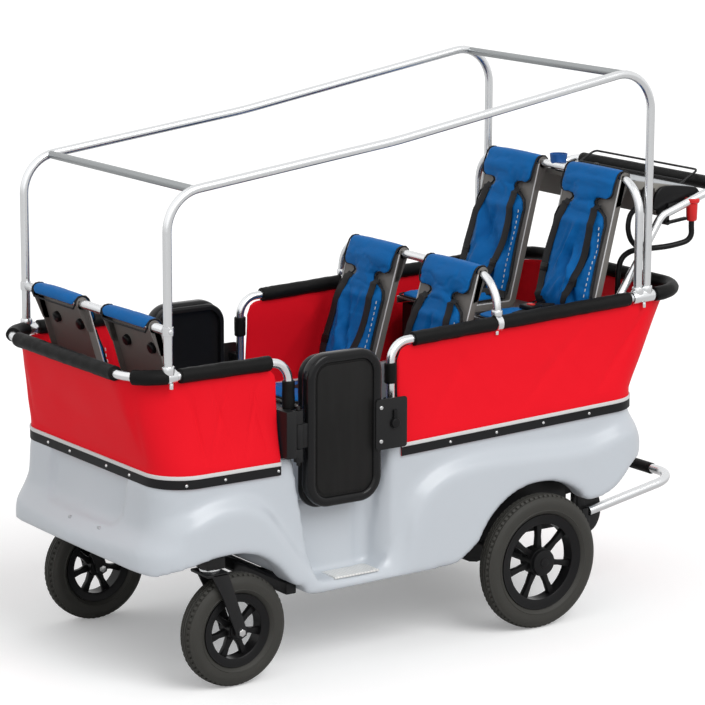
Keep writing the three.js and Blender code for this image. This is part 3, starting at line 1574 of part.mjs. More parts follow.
function doorLatch(side) {
  const face = doorOuter + latchPlateThickness + gap;
  const knob = rodY(latchKnobRadius, side * face, side * (face + latchKnobLength), latchX, latchZ);
  const arm = sideBlock(side, latchX - latchArmWidth / 2, latchX + latchArmWidth / 2, face,
    face + latchArmThickness, latchZ, latchZ + latchArmLength);
  return geometryOf(joinAll([knob, arm]));
}

for (const [side, word] of sideNames) {
  add(`door_${word}`, doorPanel(side), 'blackPlastic');
  add(`door_latch_${word}`, doorLatch(side), 'blackPlastic');
}

// The part's zero lies at the middle of its box, on the floor.
const box = new THREE.Box3().setFromObject(wagon);
wagon.position.x = -(box.min.x + box.max.x) / 2;
const part = new THREE.Group();
part.add(wagon);

export default part;
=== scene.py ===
"""A six-seat electric wagon for small children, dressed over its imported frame."""
import logging
import math
from collections.abc import Callable, Sequence
from dataclasses import dataclass
from enum import Enum

import bmesh
import bpy
from mathutils import Matrix, Vector, noise


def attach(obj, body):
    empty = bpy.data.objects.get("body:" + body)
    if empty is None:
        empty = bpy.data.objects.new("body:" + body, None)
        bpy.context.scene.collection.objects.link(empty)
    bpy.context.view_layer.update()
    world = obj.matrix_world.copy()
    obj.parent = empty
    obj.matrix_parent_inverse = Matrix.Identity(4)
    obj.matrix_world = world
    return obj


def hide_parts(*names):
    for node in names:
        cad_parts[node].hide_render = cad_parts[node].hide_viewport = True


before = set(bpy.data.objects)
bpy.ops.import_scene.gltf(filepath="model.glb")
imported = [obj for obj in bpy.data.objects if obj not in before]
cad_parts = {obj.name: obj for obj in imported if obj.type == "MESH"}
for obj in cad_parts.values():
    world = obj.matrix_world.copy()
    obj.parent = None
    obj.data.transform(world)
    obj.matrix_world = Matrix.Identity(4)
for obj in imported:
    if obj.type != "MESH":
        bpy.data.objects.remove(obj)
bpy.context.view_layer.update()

LOG = logging.getLogger("wagon")

Pair = tuple[float, float]
Colour = tuple[float, float, float]

MILLI = 0.001
SHIFT_X = 262.5
TO_METRES = Matrix.Translation((SHIFT_X * MILLI, 0, 0)) @ Matrix.Scale(MILLI, 4)
UP = Vector((0, 0, 1))
LEFT = -1
RIGHT = 1
SIDES = {LEFT: "left", RIGHT: "right"}
QUARTER = math.pi / 2
HINGE_X, HINGE_Y, HINGE_RADIUS = -745, 376, 12
SWIVEL_X, CASTER_X, CASTER_Y, CASTER_RADIUS = -975, -911, 337, 142
REAR_WHEEL_Y, REAR_WHEEL_RADIUS = 374, 178
FRONT_BAR_X, FRONT_BAR_Z = -1093, 903
RAIL_HALF = 346
TUBE_RADIUS = 11
FOLD_SEED = 1796064149  # Without a seed the foam's folds follow the clock and change with each run.


def at(x: float, y: float, z: float) -> Vector:
    """A point in millimetres, counted from under the rear axle."""
    return Vector((x, y, z))


def mix(a: float, b: float, share: float) -> float:
    """The value a share of the way from a to b."""
    return a + (b - a) * share


def smooth(value: float) -> float:
    """A soft step from 0 to 1."""
    t = min(1.0, max(0.0, value))
    return t * t * (3 - 2 * t)


def flow(table: Sequence[Pair], x: float) -> float:
    """Reads a smooth curve through a table of (place, value) pairs.

    Args:
        table: the pairs, in order of place.
        x: the place to read.

    Returns:
        The value there, held level beyond both ends.
    """
    if x <= table[0][0]:
        return table[0][1]
    for i in range(len(table) - 1):
        (x0, v0), (x1, v1) = table[i], table[i + 1]
        if x <= x1:
            before, after = table[max(i - 1, 0)], table[min(i + 2, len(table) - 1)]
            slope0 = (v1 - before[1]) / (x1 - before[0])
            slope1 = (after[1] - v0) / (after[0] - x0)
            t, span = (x - x0) / (x1 - x0), x1 - x0
            t2, t3 = t * t, t * t * t
            return (v0 * (2 * t3 - 3 * t2 + 1) + slope0 * span * (t3 - 2 * t2 + t)
                    + v1 * (3 * t2 - 2 * t3) + slope1 * span * (t3 - t2))
    return table[-1][1]


def bent(corners: Sequence[Vector], radii: Sequence[float], steps: int = 10) -> list[Vector]:
    """Straight runs joined by round bends.

    Args:
        corners: the corner points, ends included.
        radii: one bend radius for each inner corner.
        steps: segments in each bend.

    Returns:
        The points along the route.
    """
    points = [corners[0].copy()]
    for before, corner, after, radius in zip(corners, corners[1:], corners[2:], radii):
        into = (corner - before).normalized()
        out = (after - corner).normalized()
        turn = into.angle(out)
        start = corner - into * radius * math.tan(turn / 2)
        inward = (out - into * out.dot(into)).normalized()
        centre = start + inward * radius
        for k in range(steps + 1):
            angle = turn * k / steps
            points.append(centre - inward * radius * math.cos(angle) + into * radius * math.sin(angle))
    points.append(corners[-1].copy())
    return points


def flowing(points: Sequence[Vector], steps: int = 6) -> list[Vector]:
    """A smooth route through points, with a number of steps between each two."""
    route = []
    for i in range(len(points) - 1):
        p0, p1 = points[max(i - 1, 0)], points[i]
        p2, p3 = points[i + 1], points[min(i + 2, len(points) - 1)]
        for k in range(steps):
            t = k / steps
            route.append(0.5 * (2 * p1 + (p2 - p0) * t + (2 * p0 - 5 * p1 + 4 * p2 - p3) * t * t
                                + (3 * p1 - p0 - 3 * p2 + p3) * t ** 3))
    route.append(points[-1].copy())
    return route


def curve(points: Sequence[Pair], steps: int = 8) -> list[Pair]:
    """A Bezier curve's points for three or four control points, its first one left out."""
    result = []
    for k in range(1, steps + 1):
        level = [Vector(p) for p in points]
        t = k / steps
        while len(level) > 1:
            level = [a.lerp(b, t) for a, b in zip(level, level[1:])]
        result.append((level[0].x, level[0].y))
    return result


def softened(points: Sequence[Pair], steps: int = 5) -> list[Pair]:
    """A closed smooth outline through points."""
    loop = [at(*p, 0) for p in (points[-1], *points, *points[:2])]
    route = flowing(loop, steps)[steps:-steps - 1]
    return [(p.x, p.y) for p in route]


def rounded(x0: float, x1: float, y0: float, y1: float, radius: float, steps: int = 6) -> list[Pair]:
    """The outline of a rectangle with round corners."""
    points = []
    for cx, cy, start in ((x1 - radius, y0 + radius, -QUARTER), (x1 - radius, y1 - radius, 0),
                          (x0 + radius, y1 - radius, QUARTER), (x0 + radius, y0 + radius, math.pi)):
        for k in range(steps + 1):
            angle = start + QUARTER * k / steps
            points.append((cx + radius * math.cos(angle), cy + radius * math.sin(angle)))
    return points


class Axis(Enum):
    """The direction that an outline is drawn out along, or that a wheel turns about."""

    X = 0
    Y = 1
    Z = 2

    def place(self, a: float, b: float, c: float) -> Vector:
        """Puts an outline's two coordinates and its depth in space."""
        if self is Axis.X:
            return Vector((c, a, b))
        if self is Axis.Y:
            return Vector((a, c, b))
        return Vector((a, b, c))


class Cut(Enum):
    """How two solids are combined."""

    KEEP_BOTH = "INTERSECT"
    REMOVE = "DIFFERENCE"


def ring_frames(path: Sequence[Vector], closed: bool, up: Vector) -> list[Matrix]:
    """Places along a route, each looking along it, without twist.

    Args:
        path: the route's points.
        closed: whether the route comes back to its start.
        up: the direction that a section's second coordinate points to at the start.

    Returns:
        One matrix for each point.
    """
    count = len(path)
    tangents = []
    for i in range(count):
        before = path[i - 1] if i or closed else path[i]
        after = path[(i + 1) % count] if i < count - 1 or closed else path[i]
        tangents.append((after - before).normalized())
    rise = up - tangents[0] * up.dot(tangents[0])
    if rise.length < 0.1:
        rise = Vector((1, 0, 0)) - tangents[0] * tangents[0].x
    rise.normalize()
    frames = []
    for i in range(count):
        if i:
            rise = tangents[i - 1].rotation_difference(tangents[i]) @ rise
            rise = (rise - tangents[i] * rise.dot(tangents[i])).normalized()
        side = rise.cross(tangents[i])
        turn = Matrix((side, rise, tangents[i])).transposed().to_4x4()
        frames.append(Matrix.Translation(path[i]) @ turn)
    return frames


def remove(obj: bpy.types.Object) -> None:
    """Removes an object together with its mesh."""
    mesh = obj.data
    bpy.data.objects.remove(obj)
    bpy.data.meshes.remove(mesh)


class Form:
    """A mesh in millimetres, built with mesh operators."""

    def __init__(self) -> None:
        """Starts empty, with a layer for the coordinates of cloth and webbing."""
        self.bm = bmesh.new()
        self.cloth = self.bm.verts.layers.float_vector.new("cloth")

    def _round(self, verts: Sequence, edge: float, steps: int) -> None:
        """Rounds the sharp edges of some vertices."""
        if edge <= 0:
            return
        edges = dict.fromkeys(e for v in verts for e in v.link_edges)
        sharp = [e for e in edges if len(e.link_faces) == 2 and e.calc_face_angle(0) > 0.9]
        bmesh.ops.bevel(self.bm, geom=sharp, offset=edge, offset_type="OFFSET", segments=steps,
                        profile=0.5, affect="EDGES", material=-1)

    def block(self, low: Sequence[float], high: Sequence[float], edge: float = 0, steps: int = 2) -> "Form":
        """Adds a block between two opposite corners, given in either order, with round edges."""
        low, high = Vector(low), Vector(high)
        size = high - low
        verts = bmesh.ops.create_cube(self.bm, size=1)["verts"]
        matrix = Matrix.Translation((low + high) / 2) @ Matrix.Diagonal((*map(abs, size), 1))
        bmesh.ops.transform(self.bm, matrix=matrix, verts=verts)
        self._round(verts, edge, steps)
        return self

    def rod(self, start: Vector, end: Vector, radius: float, end_radius: float | None = None,
            sides: int = 28, edge: float = 0) -> "Form":
        """Adds a round bar or cone between two points."""
        axis = end - start
        verts = bmesh.ops.create_cone(
            self.bm, cap_ends=True, cap_tris=False, segments=sides, radius1=radius,
            radius2=radius if end_radius is None else end_radius, depth=axis.length)["verts"]
        turn = UP.rotation_difference(axis).to_matrix().to_4x4()
        bmesh.ops.transform(self.bm, matrix=Matrix.Translation((start + end) / 2) @ turn, verts=verts)
        self._round(verts, edge, 2)
        return self

    def prism(self, outline: Sequence[Pair], near: float, far: float, axis: Axis = Axis.Y,
              edge: float = 0, steps: int = 2) -> "Form":
        """Draws an outline out along an axis."""
        verts = [self.bm.verts.new(axis.place(a, b, near)) for a, b in outline]
        loop = [self.bm.edges.new((verts[i - 1], vert)) for i, vert in enumerate(verts)]
        face = bmesh.ops.edgeloop_fill(self.bm, edges=loop)["faces"]
        made = bmesh.ops.extrude_face_region(self.bm, geom=face)["geom"]
        new = [g for g in made if isinstance(g, bmesh.types.BMVert)]
        bmesh.ops.translate(self.bm, vec=axis.place(0, 0, far - near), verts=new)
        both = verts + new
        bmesh.ops.recalc_face_normals(self.bm, faces=list(dict.fromkeys(f for v in both for f in v.link_faces)))
        self._round(both, edge, steps)
        return self

    def sweep(self, path: Sequence[Vector], section: Sequence[Pair], closed: bool = False,
              up: Vector = UP) -> "Form":
        """Draws a section along a route; each point keeps its place on the section and the route."""
        frames = ring_frames(path, closed, up)
        ring = [self.bm.verts.new((a, b, 0)) for a, b in section]
        for vert in ring:
            vert[self.cloth] = vert.co.xyz
        edges = [self.bm.edges.new((v, ring[(i + 1) % len(ring)])) for i, v in enumerate(ring)]
        bmesh.ops.transform(self.bm, matrix=frames[0], verts=ring)
        first, run = edges, 0.0
        for i in range(1, len(frames)):
            made = bmesh.ops.extrude_edge_only(self.bm, edges=edges)["geom"]
            ring = [g for g in made if isinstance(g, bmesh.types.BMVert)]
            fresh = set(ring)
            edges = [g for g in made if isinstance(g, bmesh.types.BMEdge) and set(g.verts) <= fresh]
            bmesh.ops.transform(self.bm, matrix=frames[i] @ frames[i - 1].inverted(), verts=ring)
            run += (path[i] - path[i - 1]).length
            for vert in ring:
                vert[self.cloth].z = run
        if closed:
            bmesh.ops.bridge_loops(self.bm, edges=first + edges)
        else:
            for loop in (first, edges):
                bmesh.ops.edgeloop_fill(self.bm, edges=loop)
        return self

    def tube(self, path: Sequence[Vector], radius: float, sides: int = 24, closed: bool = False) -> "Form":
        """Adds a round bar along a route."""
        section = [(radius * math.cos(2 * math.pi * i / sides), radius * math.sin(2 * math.pi * i / sides))
                   for i in range(sides)]
        return self.sweep(path, section, closed)

    def sleeve(self, path: Sequence[Vector], radius: float, end: float = 4, sides: int = 28) -> "Form":
        """Adds a round sleeve along a route, with rounded ends."""
        start = len(self.bm.verts)
        self.tube(path, radius, sides)
        self.bm.verts.ensure_lookup_table()
        self._round(self.bm.verts[start:], end, 3)
        return self

    def lathe(self, profile: Sequence[Pair], centre: Vector, axis: Axis = Axis.Y, steps: int = 72) -> "Form":
        """Turns a profile of (radius, place along the axis) pairs round an axis."""
        out = axis.place(0, 1, 0)
        along = axis.place(0, 0, 1)
        verts = [self.bm.verts.new(centre + out * r + along * a) for r, a in profile]
        edges = [self.bm.edges.new((verts[i], verts[i + 1])) for i in range(len(verts) - 1)]
        if profile[0][0] > 0 or profile[-1][0] > 0:
            edges.append(self.bm.edges.new((verts[-1], verts[0])))
        bmesh.ops.spin(self.bm, geom=verts + edges, cent=centre, axis=along, dvec=(0, 0, 0),
                       angle=2 * math.pi, steps=steps, use_merge=True)
        bmesh.ops.remove_doubles(self.bm, verts=self.bm.verts[:], dist=0.001)
        bmesh.ops.recalc_face_normals(self.bm, faces=self.bm.faces[:])
        return self

    def grid(self, across: int, along: int, place: Callable[[float, float], Vector],
             cloth: Callable[[float, float], Pair] | None = None) -> "Form":
        """Adds a grid whose points a function puts in space."""
        verts = bmesh.ops.create_grid(self.bm, x_segments=across, y_segments=along, size=0.5)["verts"]
        for vert in verts:
            u, v = vert.co.x + 0.5, vert.co.y + 0.5
            vert.co = place(u, v)
            if cloth:
                vert[self.cloth] = (*cloth(u, v), 0)
        return self

    def join(self, other: "Form", matrix: Matrix | None = None) -> "Form":
        """Adds a copy of another form, moved by a matrix."""
        mesh = bpy.data.meshes.new("copy")
        other.bm.to_mesh(mesh)
        if matrix is not None:
            mesh.transform(matrix)
            if matrix.determinant() < 0:
                mesh.flip_normals()
        self.bm.from_mesh(mesh)
        bpy.data.meshes.remove(mesh)
        self.cloth = self.bm.verts.layers.float_vector["cloth"]
        return self

    def as_object(self, name: str) -> bpy.types.Object:
        """A scene object with this mesh, still in millimetres."""
        mesh = bpy.data.meshes.new(name)
        self.bm.to_mesh(mesh)
        obj = bpy.data.objects.new(name, mesh)
        bpy.context.scene.collection.objects.link(obj)
        return obj

    def _take(self, obj: bpy.types.Object) -> None:
        """Replaces this form by an object's finished mesh, and removes the object."""
        graph = bpy.context.evaluated_depsgraph_get()
        mesh = bpy.data.meshes.new_from_object(obj.evaluated_get(graph))
        self.bm.free()
        self.bm = bmesh.new()
        self.bm.from_mesh(mesh)
        layers = self.bm.verts.layers.float_vector
        self.cloth = layers.get("cloth") or layers.new("cloth")
        bpy.data.meshes.remove(mesh)
        remove(obj)

    def combine(self, other: "Form", how: Cut) -> "Form":
        """Cuts or intersects this form with another."""
        obj, tool = self.as_object("work"), other.as_object("tool")
        step = obj.modifiers.new("combine", "BOOLEAN")
        step.operation, step.object, step.solver = how.value, tool, "EXACT"
        self._take(obj)
        remove(tool)
        return self

    def remesh(self, voxel: float, rounds: int) -> "Form":
        """Rebuilds the skin in even faces and softens its edges."""
        obj = self.as_object("work")
        step = obj.modifiers.new("remesh", "REMESH")
        step.mode, step.voxel_size = "VOXEL", voxel
        soften = obj.modifiers.new("soften", "SMOOTH")
        soften.factor, soften.iterations = 0.5, rounds
        self._take(obj)
        return self

    def piece(self, name: str, finish: "Finish", body: str = "wagon", nodes: Sequence[str] = (),
              angle: float = 40, wall: float = 0, level: int = 0) -> bpy.types.Object:
        """Makes the finished piece, which rides on its body and stands for its nodes.

        Args:
            name: the piece's name.
            finish: its finish.
            body: the body that it moves with.
            nodes: the solids that it stands for.
            angle: edges sharper than this many degrees stay sharp.
            wall: the thickness that an open sheet gets, in millimetres.
            level: rounds of subdivision.

        Returns:
            The object, with its place in its mesh.
        """
        bmesh.ops.transform(self.bm, matrix=TO_METRES, verts=self.bm.verts[:])
        obj = self.as_object(name)
        self.bm.free()
        if wall:
            solid = obj.modifiers.new("wall", "SOLIDIFY")
            solid.thickness, solid.offset = wall * MILLI, 0
        if level:
            finer = obj.modifiers.new("finer", "SUBSURF")
            finer.levels = finer.render_levels = level
        obj.data.shade_smooth()
        obj.data.set_sharp_from_angle(angle=math.radians(angle))
        obj.data.materials.append(finish.material())
        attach(obj, body)
        if nodes:
            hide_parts(*nodes)
        LOG.info("%s: %d faces on %s", name, len(obj.data.polygons), body)
        return obj


class Link:
    """A node's output that takes part in sums."""

    def __init__(self, recipe: "Recipe", socket: bpy.types.NodeSocket) -> None:
        """Keeps the socket and the recipe that it belongs to."""
        self.recipe, self.socket = recipe, socket

    def _sum(self, operation: str, first: "Link | float", second: "Link | float") -> "Link":
        """Adds one Math node."""
        return self.recipe.node("ShaderNodeMath", {"operation": operation}, {0: first, 1: second})

    def __add__(self, other: "Link | float") -> "Link":
        """The sum."""
        return self._sum("ADD", self, other)

    def __radd__(self, other: float) -> "Link":
        """The sum with a number in front."""
        return self._sum("ADD", other, self)

    def __sub__(self, other: "Link | float") -> "Link":
        """The difference."""
        return self._sum("SUBTRACT", self, other)

    def __mul__(self, other: "Link | float") -> "Link":
        """The product."""
        return self._sum("MULTIPLY", self, other)

    def __rmul__(self, other: float) -> "Link":
        """The product with a number in front."""
        return self._sum("MULTIPLY", other, self)

    def sine(self) -> "Link":
        """The sine."""
        return self.recipe.node("ShaderNodeMath", {"operation": "SINE"}, {0: self})

    def span(self, low: float, high: float) -> "Link":
        """The value stretched so that low gives 0 and high gives 1, held between them."""
        return self.recipe.node("ShaderNodeMapRange", {"interpolation_type": "SMOOTHSTEP"},
                                {0: self, 1: low, 2: high, 3: 0.0, 4: 1.0})


class Recipe:
    """Builds one material's nodes."""

    def __init__(self, name: str) -> None:
        """Starts a material with a bare shader."""
        self.material = bpy.data.materials.new(name)
        self.material.use_nodes = True
        self.tree = self.material.node_tree
        self.shader = self.tree.nodes["Principled BSDF"]

    def node(self, kind: str, settings: dict | None = None, inputs: dict | None = None,
             output: int = 0) -> Link:
        """Adds a node.

        Args:
            kind: the node's type.
            settings: its own settings, set first.
            inputs: values or links for its sockets.
            output: which output to return.

        Returns:
            The output as a link.
        """
        made = self.tree.nodes.new(kind)
        for key, value in (settings or {}).items():
            setattr(made, key, value)
        for key, value in (inputs or {}).items():
            if isinstance(value, Link):
                self.tree.links.new(value.socket, made.inputs[key])
            else:
                made.inputs[key].default_value = value
        return Link(self, made.outputs[output])

    def coordinates(self, finish: "Finish") -> Link:
        """The object's coordinates in metres, or the cloth's own ones."""
        if finish.follows:
            source = self.node("ShaderNodeAttribute", {"attribute_name": "cloth"}, output=1)
            scale = (MILLI, MILLI, MILLI)
            return self.node("ShaderNodeMapping", {}, {"Vector": source, "Scale": scale})
        return self.node("ShaderNodeTexCoord", output=3)

    def speckle(self, place: Link, scale: float, detail: float = 3) -> Link:
        """Soft noise between 0 and 1, with a number of grains in each metre."""
        return self.node("ShaderNodeTexNoise", {}, {"Vector": place, "Scale": scale, "Detail": detail})

    def stretched(self, place: Link, scale: tuple[float, float, float]) -> Link:
        """The coordinates scaled along each axis."""
        return self.node("ShaderNodeMapping", {}, {"Vector": place, "Scale": scale})

    def part(self, place: Link, index: int) -> Link:
        """One coordinate of a place."""
        return self.node("ShaderNodeSeparateXYZ", {}, {0: place}, output=index)

    def tint(self, share: Link, low: Colour, high: Colour) -> Link:
        """A colour between two, by a share."""
        return self.node("ShaderNodeMix", {"data_type": "RGBA"},
                         {0: share, 6: (*low, 1), 7: (*high, 1)}, output=2)

    def feed(self, socket: str, value: Link | float | tuple) -> None:
        """Connects or sets one of the shader's sockets."""
        if isinstance(value, Link):
            self.tree.links.new(value.socket, self.shader.inputs[socket])
        else:
            self.shader.inputs[socket].default_value = value

    def bump(self, height: Link, depth: float) -> None:
        """Feeds a height to the shader's normal."""
        self.feed("Normal", self.node("ShaderNodeBump", {}, {"Height": height, "Distance": depth,
                                                             "Strength": 1.0}))


class Grain(Enum):
    """The surface structures of the wagon's materials."""

    MOULDED = "moulded"
    BRUSHED = "brushed"
    POWDER = "powder"
    WOVEN = "woven"
    WEBBING = "webbing"
    FOAM = "foam"
    RUBBER = "rubber"
    CHECKER = "checker"
    BOARD = "board"


@dataclass(frozen=True)
class Finish:
    """A material: its colour, gloss and surface structure."""

    name: str
    slot: str
    colour: Colour
    rough: float
    grain: Grain
    metal: float = 0
    coat: float = 0
    gloss: float = 0.3
    shade: float = 0.12
    depth: float = 0.0001
    scale: float = 600
    follows: bool = False

    def material(self) -> bpy.types.Material:
        """The material, made once."""
        known = bpy.data.materials.get(self.name)
        return known or self._make()

    def _make(self) -> bpy.types.Material:
        """Builds the nodes."""
        recipe = Recipe(self.name)
        place = recipe.coordinates(self)
        height, tone = self._structure(recipe, place)
        cloud = recipe.speckle(place, 7)
        worn = recipe.speckle(place, 45, 5)
        dark = tuple(c * (1 - self.shade) for c in self.colour)
        light = tuple(min(1, c * (1 + self.shade) + 0.004) for c in self.colour)
        recipe.feed("Base Color", recipe.tint(tone * 0.5 + cloud * 0.35 + worn * 0.15, dark, light))
        recipe.feed("Roughness", self.rough * (0.84 + cloud * 0.18 + worn * 0.14))
        recipe.feed("Metallic", float(self.metal))
        recipe.feed("Coat Weight", float(self.coat))
        recipe.feed("Coat Roughness", 0.18)
        recipe.feed("Specular IOR Level", float(self.gloss))
        recipe.bump(height, self.depth)
        return recipe.material

    def _structure(self, recipe: Recipe, place: Link) -> tuple[Link, Link]:
        """The height and the tone of the surface structure."""
        fine = recipe.speckle(place, self.scale, 4)
        if self.grain is Grain.MOULDED:
            peel = recipe.speckle(place, self.scale * 0.4, 1)
            return peel * 0.7 + fine * 0.3, fine
        if self.grain is Grain.BRUSHED:
            lines = recipe.speckle(recipe.stretched(place, (1, 9, 9)), self.scale * 0.3, 6)
            return lines, lines * 0.6 + fine * 0.4
        if self.grain is Grain.POWDER:
            return fine, fine
        if self.grain in (Grain.WOVEN, Grain.WEBBING):
            return self._threads(recipe, place, fine)
        if self.grain is Grain.CHECKER:
            lozenges = self._checker(recipe, place)
            return lozenges, lozenges * 0.6 + fine * 0.4
        if self.grain is Grain.BOARD:
            boards = recipe.speckle(recipe.stretched(place, (60, 60, 5)), 1.0, 5)
            return boards * 0.6 + fine * 0.4, boards
        cells = recipe.node("ShaderNodeTexVoronoi", {}, {"Vector": place, "Scale": self.scale})
        return cells * 0.5 + fine * 0.5, fine

    def _threads(self, recipe: Recipe, place: Link, fine: Link) -> tuple[Link, Link]:
        """Crossing threads, or the ribs of a webbing."""
        turn = 2 * math.pi * self.scale
        if not self.follows:
            warp = ((recipe.part(place, 0) + recipe.part(place, 1)) * turn).sine()
            weft = ((recipe.part(place, 2) + recipe.part(place, 1) * 0.3) * turn).sine()
        else:
            warp = (recipe.part(place, 0) * turn).sine()
            weft = ((recipe.part(place, 1) + recipe.part(place, 2)) * turn).sine()
        if self.grain is Grain.WEBBING:
            return weft * 0.35 + warp * 0.15 + fine * 0.3 + 0.5, weft * 0.2 + fine * 0.6 + 0.2
        cross = warp * weft * 0.3 + fine * 0.5 + 0.3
        return cross, cross

    def _checker(self, recipe: Recipe, place: Link) -> Link:
        """Raised lozenges in two crossing directions."""
        turn = 2 * math.pi * self.scale
        first = recipe.part(place, 0) + recipe.part(place, 1)
        second = recipe.part(place, 0) - recipe.part(place, 1)
        return ((first * turn).sine() * (second * turn).sine()).span(0.1, 0.4)


class Finishes:
    """The wagon's finishes, named after what they cover."""

    TUB = Finish("tub_plastic", "moulding", (0.495, 0.53, 0.57), 0.33, Grain.MOULDED, coat=0.3, gloss=0.5,
                 shade=0.04, depth=0.0001, scale=700)
    TUBE = Finish("satin_tube", "aluminium", (0.74, 0.75, 0.76), 0.24, Grain.BRUSHED, metal=1, shade=0.03,
                  depth=0.00001, scale=900)
    # Also used for the door ledge, where this pale grey is a painted highlight.
    DARK_BAR = Finish("dull_bar", "steel", (0.33, 0.345, 0.35), 0.36, Grain.BRUSHED, metal=0.8, depth=0.00002)
    BOLT = Finish("bright_screw", "steel", (0.6, 0.6, 0.6), 0.22, Grain.BRUSHED, metal=1, depth=0.00002)
    POWDER = Finish("black_powder", "black_metal", (0.009, 0.009, 0.0095), 0.4, Grain.POWDER, gloss=0.2, shade=0.3,
                    depth=0.00008, scale=1500)
    PLASTIC = Finish("black_moulding", "black_plastic", (0.006, 0.006, 0.0065), 0.3, Grain.MOULDED, gloss=0.14,
                     shade=0.3, depth=0.0001, scale=1200)
    RIM = Finish("glossy_moulding", "black_plastic", (0.005, 0.005, 0.0055), 0.2, Grain.MOULDED, coat=0.2, gloss=0.12,
                 shade=0.2, depth=0.00006, scale=900)
    BOARD = Finish("door_board", "black_plastic", (0.008, 0.0077, 0.0075), 0.42, Grain.BOARD, gloss=0.14, shade=0.6,
                   depth=0.0002, scale=1200)
    PAD = Finish("foam_sleeve", "foam", (0.0045, 0.0045, 0.0045), 0.45, Grain.FOAM, gloss=0.09, shade=0.5,
                 depth=0.0004, scale=900)
    WALL = Finish("red_cloth", "vinyl", (0.76, 0.006, 0.016), 0.48, Grain.WOVEN, gloss=0.05, shade=0.05,
                  depth=0.00006, scale=700, follows=True)
    BAND = Finish("black_band", "foam", (0.008, 0.008, 0.009), 0.5, Grain.WEBBING, gloss=0.15, shade=0.3,
                  depth=0.0001, scale=500)
    # Pale piping of the fabric walls and cord of the cover lacing; on the seat shells' flange edges the same pale
    # tubes are a painted highlight.
    PIPING_AND_HIGHLIGHT = Finish("pale_piping_and_highlight", "shell", (0.6, 0.6, 0.6), 0.45, Grain.MOULDED, depth=0.0001)
    SHELL = Finish("seat_plastic", "shell", (0.15, 0.14, 0.13), 0.45, Grain.MOULDED, shade=0.15,
                   depth=0.0001, scale=1300)
    COVER = Finish("blue_cloth", "cloth", (0.002, 0.118, 0.37), 0.5, Grain.WOVEN, gloss=0.08, shade=0.42,
                   depth=0.0002, scale=450, follows=True)
    STRAP = Finish("harness_webbing", "cloth", (0.009, 0.009, 0.01), 0.6, Grain.WEBBING, gloss=0.2, shade=0.4,
                   depth=0.0003, scale=420, follows=True)
    RED = Finish("red_plastic", "vinyl", (0.62, 0.012, 0.012), 0.35, Grain.MOULDED, depth=0.00006)
    # Lighter than the seats' shell plastic: painted light that brightens the console's shaded front.
    HOUSING_PAINTED_LIGHT = Finish("console_plastic_painted_light", "shell", (0.23, 0.22, 0.2), 0.5, Grain.MOULDED, shade=0.15,
                     depth=0.0001, scale=1300)
    TRAY = Finish("grey_tray", "tray", (0.42, 0.44, 0.46), 0.45, Grain.MOULDED, shade=0.08, depth=0.0001)
    TYRE = Finish("tyre_rubber", "tyre", (0.03, 0.029, 0.025), 0.6, Grain.RUBBER, shade=0.35,
                  depth=0.0003, scale=500)
    PLATE = Finish("step_plate", "aluminium", (0.82, 0.82, 0.8), 0.4, Grain.CHECKER, metal=0.35, gloss=0.6, shade=0.22,
                   depth=0.002, scale=55)
    CUP = Finish("blue_cup", "cloth", (0.01, 0.09, 0.32), 0.4, Grain.MOULDED, depth=0.00006)


